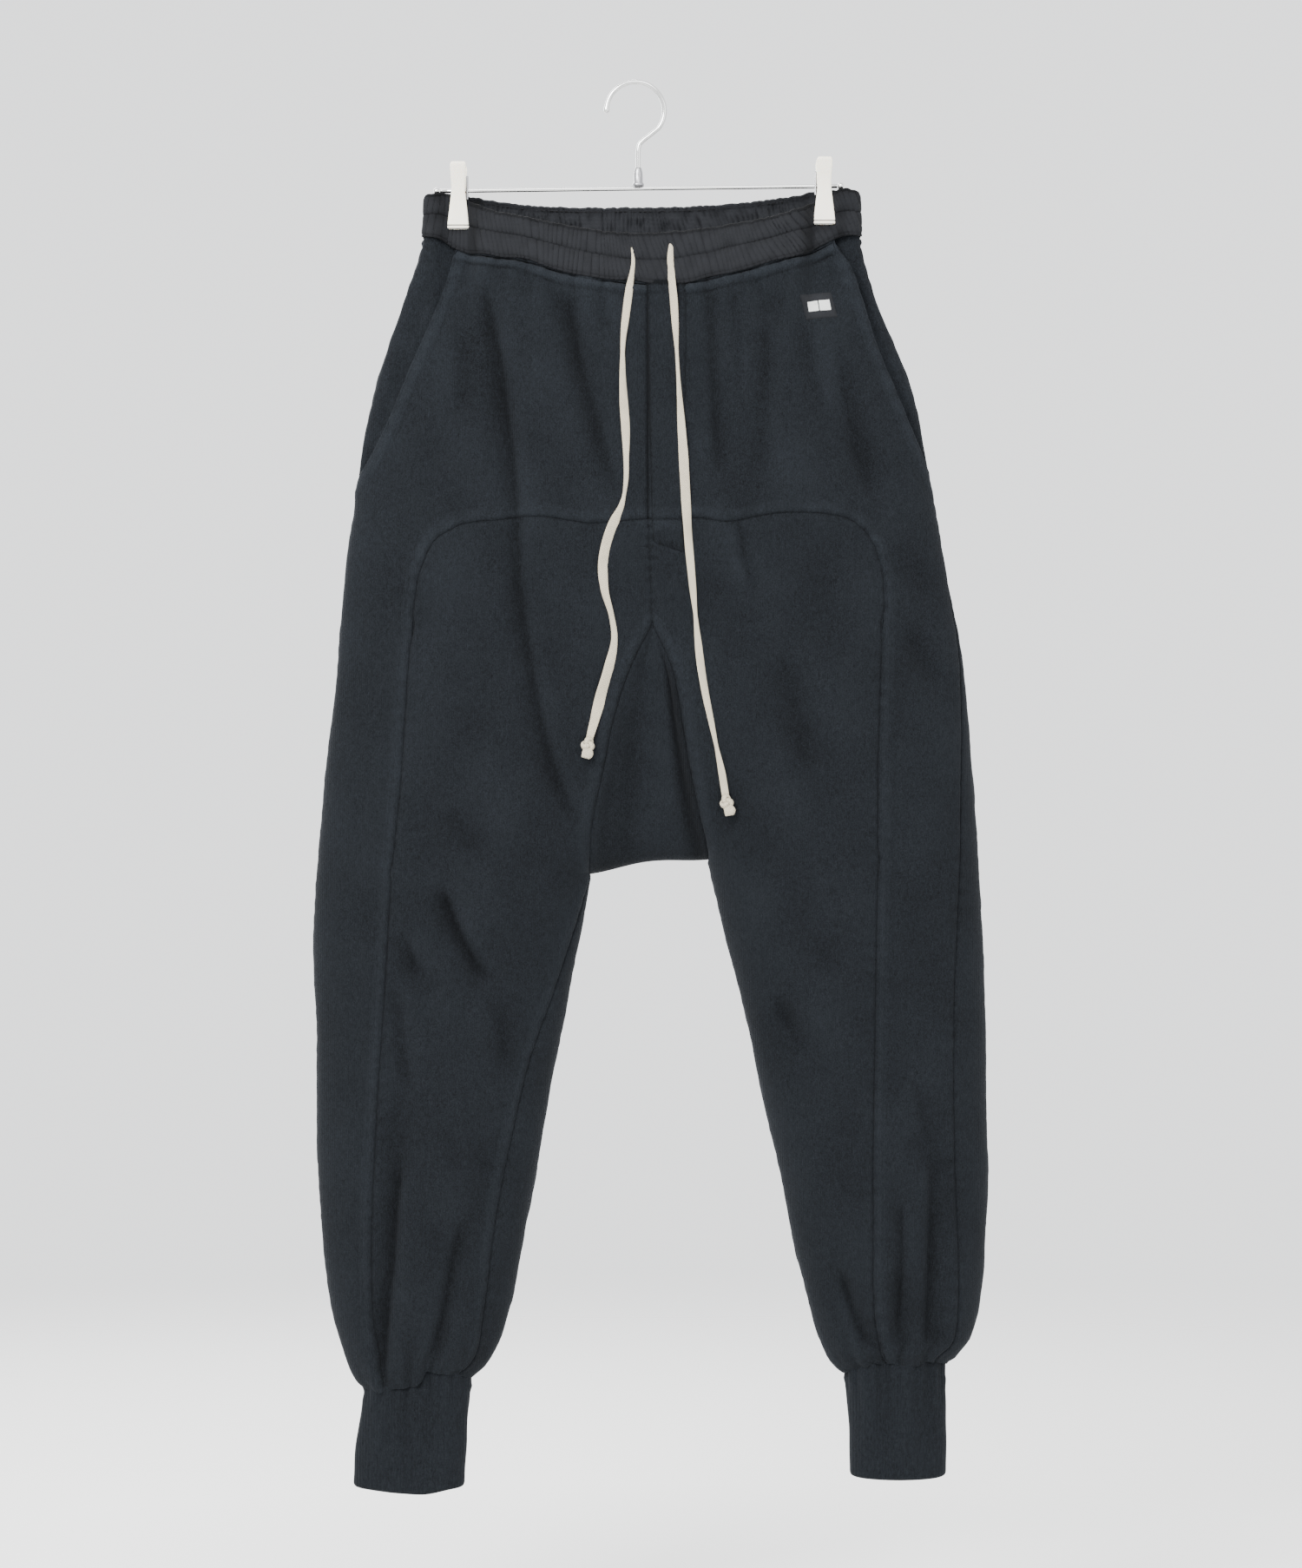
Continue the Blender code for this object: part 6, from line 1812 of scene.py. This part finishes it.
LEG_DROP = 20.0
LEG_SPREAD = 2.2  # how far its lower end stands off the bar's plane

jaw_angle = circle(JAW_ROUND, math.pi / JAW_ROUND)
jaw_x, jaw_y = signed_power(np.cos(jaw_angle), 0.35), signed_power(np.sin(jaw_angle), 0.5)
for half in HALVES:
    x = CLIP_X[half]
    bar = bar_height(x)
    for face, side_name in ((-1, "front"), (1, "back")):
        points = []
        for station in JAW:
            middle = (station.inner_face + station.outer_face) / 2
            y = middle + (station.outer_face - station.inner_face) / 2 * jaw_y
            points += [(x + sx, face * sy, bar + station.rise)
                       for sx, sy in zip(station.half_width * jaw_x, y)]
        name = f"clip_jaw_{side_name}_{half}"
        hard_piece(name + "_rounded", points, ring_faces(len(JAW), JAW_ROUND), cream, name)
        # Two dark beads across the jaw's foot: painted shade under its lip
        for row, lip in enumerate(LIP_LINES):
            bead = [(x + step, face * (lip.reach - 0.6), bar + lip.rise)
                    for step in np.linspace(-lip.reach, lip.reach, 24)]
            wire_piece(f"lip_line_{side_name}_{half}_{row}", bead, LIP_RADIUS, lip_shade, sides=8)
        leg = [(x + INWARDS[half] * SPRING_LEG, face * LEG_SPREAD * k, bar + LEG_TOP - LEG_DROP * k)
               for k in np.linspace(0, 1, 20)]
        wire_piece(f"spring_leg_{side_name}_{half}", leg, 1.0, dull_steel, sides=12)
    coil_turn = np.linspace(0, COIL_TURNS * 2 * math.pi, 190)
    coil = np.stack((x - COIL_WIDTH / 2 + COIL_WIDTH * coil_turn / coil_turn[-1],
                     COIL_RADIUS * np.sin(coil_turn),
                     bar + COIL_RADIUS * np.cos(coil_turn)), axis=1)
    wire_piece("clip_coil_" + half, coil, COIL_WIRE, dull_steel, "clip_spring_" + half,
               sides=10)
print("clips at", CLIP_X)

# %% [markdown]
# ## Buttonholes and stitches
#
# Each cord leaves through a short buttonhole worked in thread. All the other sewing is drawn as
# single stitches laid on the cloth: small joined capsules, three millimetres long with a gap. A
# texture of stitches would need a layout along every seam; a mesh only needs the seam's own line.

# %% Stitches
STITCH = 3.0
STITCH_GAP = 1.1
STITCH_RADIUS = 0.32
STITCH_SIDES = 5
STITCH_SHORTEST = 0.3
STITCH_RINGS = ((0.14, 0.8), (0.5, 1.0), (0.86, 0.8))  # share of the length, and of the radius
stitch_points = []
stitch_faces = []


def add_stitch(start, end, radius=STITCH_RADIUS):
    """One stitch between two places in millimetres: a capsule with pointed ends."""
    length = np.linalg.norm(end - start)
    if length < STITCH_SHORTEST:
        return
    along = unit(end - start)
    side = np.cross(along, (0.0, 1.0, 0.0))
    if np.linalg.norm(side) < 0.05:
        side = np.cross(along, (0.0, 0.0, 1.0))
    side = unit(side)
    front = np.cross(side, along)
    base = len(stitch_points)
    stitch_points.append(start)
    for share, size in STITCH_RINGS:
        middle = start + along * length * share
        for a in circle(STITCH_SIDES):
            spoke = side * math.cos(a) + front * math.sin(a)
            stitch_points.append(middle + radius * size * spoke)
    stitch_points.append(end)
    first, last = base + 1, base + 1 + 2 * STITCH_SIDES
    for k in range(STITCH_SIDES):
        after = (k + 1) % STITCH_SIDES
        stitch_faces.append((base, first + after, first + k))
        for a in (first, first + STITCH_SIDES):
            stitch_faces.append((a + k, a + after, a + STITCH_SIDES + after, a + STITCH_SIDES + k))
        stitch_faces.append((last + k, last + after, last + STITCH_SIDES))


def sew(points, shift=0.0, face=-1):
    """A row of stitches along picture points, moved sideways by shift."""
    line = even(points, max(4, int(run_lengths(np.asarray(points, float))[-1])))
    way = unit(np.gradient(line, axis=0))
    line = line + pairs(-way[:, 1], way[:, 0]) * shift
    run = run_lengths(line)
    at = 0.0
    while at + STITCH < run[-1]:
        found = [on_cloth(*(np.interp(place, run, line[:, k]) for k in range(2)), face)
                 for place in (at, at + STITCH)]
        at += STITCH + STITCH_GAP
        if None in found:
            continue
        start, end = (np.array(hit + normal * 0.12) for hit, normal in found)
        if np.linalg.norm(end - start) < 2.2 * STITCH:
            add_stitch(start, end)


def sewn(name, finish):
    """Turn the stitches gathered so far into one piece."""
    hard_piece(name, stitch_points, stitch_faces, finish, None)
    print(name, "stitches:", len(stitch_points) // (2 + len(STITCH_RINGS) * STITCH_SIDES))
    stitch_points.clear()
    stitch_faces.clear()


def seam_points(half, key):
    """A seam's run as points on the picture."""
    return cloth(half, *SEAMS[half][key].T)[:, (0, 2)]


def along_band(column, ends, drop):
    """A line across the picture that keeps below one edge of the band."""
    x = np.linspace(*ends, 40)
    return pairs(x, band_edge(column, x) - drop)


# %% Body stitches
TWIN_ROWS = (2.4, 7.2)  # two rows of stitches beside a seam
WAIST_ROW = 7.5

for half in HALVES:
    outwards = -INWARDS[half]
    for offset in TWIN_ROWS:
        sew(YOKE_SEAM[half], outwards * offset)
        sew(LEG_SEAM[half], outwards * offset)
        sew(POCKET_EDGE[half], outwards * (offset - 1.2))
    sew(along_band("front_seam", (MIDDLE, POCKET_EDGE[half][0].x), WAIST_ROW))
    sew(seam_points(half, "gusset"), 2.2 * outwards)
top_left, top_right, low_left, low_right = (np.array(corner) for corner in PLACKET)
sew([top_left + (1.8, 0), low_left + (1.8, 0)])
sew([top_right - (1.8, 0), low_right + (-1.8, 1)])
sew([low_left + (1, 1.6), low_right + (-1, 1.6)])
label_middle = np.mean(LABEL, axis=0)
label_row = np.array(LABEL) + (label_middle - np.array(LABEL)) * 0.1
for a, b in ((0, 1), (1, 3), (3, 2), (2, 0)):
    sew([label_row[a], label_row[b]])
for half in HALVES:
    outwards = -INWARDS[half]
    for offset in TWIN_ROWS:
        sew(seam_points(half, "back_middle"), outwards * offset, 1)
    sew(seam_points(half, "gusset"), 2.2 * outwards, 1)
    sew(along_band("back_seam", (MIDDLE, outwards * 165.0), WAIST_ROW), 0, 1)
sewn("body_stitches", woven["navy_thread"])

# %% Band stitches
band_x = np.linspace(-166, 176, 90)
for face, column in ((-1, "front"), (1, "back")):
    low, top = band_edge(column + "_seam", band_x), band_edge(column + "_top", band_x)
    sew(pairs(band_x, low + (top - low) * middle_row(band_x)), 0, face)
    sew(pairs(band_x, top - 1.8), 0, face)
sewn("band_stitches", woven["black_thread"])

# %% Buttonholes
LEAN = 0.25  # how much a buttonhole leans for each millimetre up
PURL_RADIUS = 0.36

for half, (x, height) in BUTTONHOLES.items():
    found = on_cloth(x, height)
    slit = np.array([np.array(found[0]) + (LEAN * k, 0.0, k) for k in np.linspace(-3.4, 3.0, 12)])
    for point in slit:
        point[1] = (on_cloth(point[0], point[2]) or found)[0].y - 0.1
    # A near-black capsule in the slit: painted shade inside the buttonhole's opening
    wire_piece("buttonhole_slit_" + half, slit, np.sin(np.linspace(0.25, math.pi - 0.25, 12)) * 0.9,
               woven["buttonhole_dark"], sides=10)
    for k in np.linspace(-4.0, 3.2, 11):
        for side in (-1, 1):
            ends = [np.array((x + LEAN * k + side * reach, 0.0, height + k + rise))
                    for reach, rise in ((0.8, 0.0), (2.5, 0.15))]
            for end in ends:
                end[1] = (on_cloth(end[0], end[2]) or found)[0].y - 0.2
            add_stitch(*ends, PURL_RADIUS)
sewn("buttonhole_purls", woven["black_thread"])

# %% [markdown]
# ## What each piece is
#
# Every shell takes the place of the solid of the same name. A table lists what each piece was cut
# to before it was sewn: widths and lengths are those of the flat piece, and the area leaves out
# what the cutter takes off its corners. The area shown is printed beside the flat one.

# %% Sheets
CUTS = table("names width length area held slot", (
    ("front_side_left front_side_right", 0.24, 0.96, 0.110, "hung", "jersey"),
    ("front_leg_left front_leg_right", 0.26, 0.74, 0.115, "hung", "jersey"),
    ("back_left back_right", 0.30, 0.97, 0.220, "hung", "jersey"),
    ("gusset_front gusset_back", 0.13, 0.21, 0.016, "hung", "jersey"),
    ("pocket_facing_left pocket_facing_right", 0.07, 0.21, 0.0075, "hung", "jersey"),
    ("fly_placket", 0.031, 0.222, 0.0068, "hung", "jersey"),
    ("brand_patch", 0.027, 0.0215, 0.00057, "hung", "label_cloth"),
    ("cuff_left cuff_right", 0.20, 0.10, 0.0190, "stretched", "cuff_knit"),
    ("waistband_front waistband_back", 0.47, 0.043, 0.0200, "gathered", "band_cloth"),
))
label_field = cloth_pieces["label_field"]
for cut in CUTS:
    for name in cut.names.split():
        piece = cloth_pieces[name]
        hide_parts(name)
        print(name, "cloth shown", round(AREAS[name], 4), "flat", cut.area)
        "hanger_bar_wire" if "waistband" in name else "waistband_front_cloth"
        [label_field] if name == "brand_patch" else ()

# %% Size
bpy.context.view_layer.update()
triangles = 0
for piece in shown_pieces():
    evaluated = piece.evaluated_get(bpy.context.evaluated_depsgraph_get())
    mesh = evaluated.to_mesh()
    mesh.calc_loop_triangles()
    triangles += len(mesh.loop_triangles)
    evaluated.to_mesh_clear()
print("triangles in the scene:", triangles)
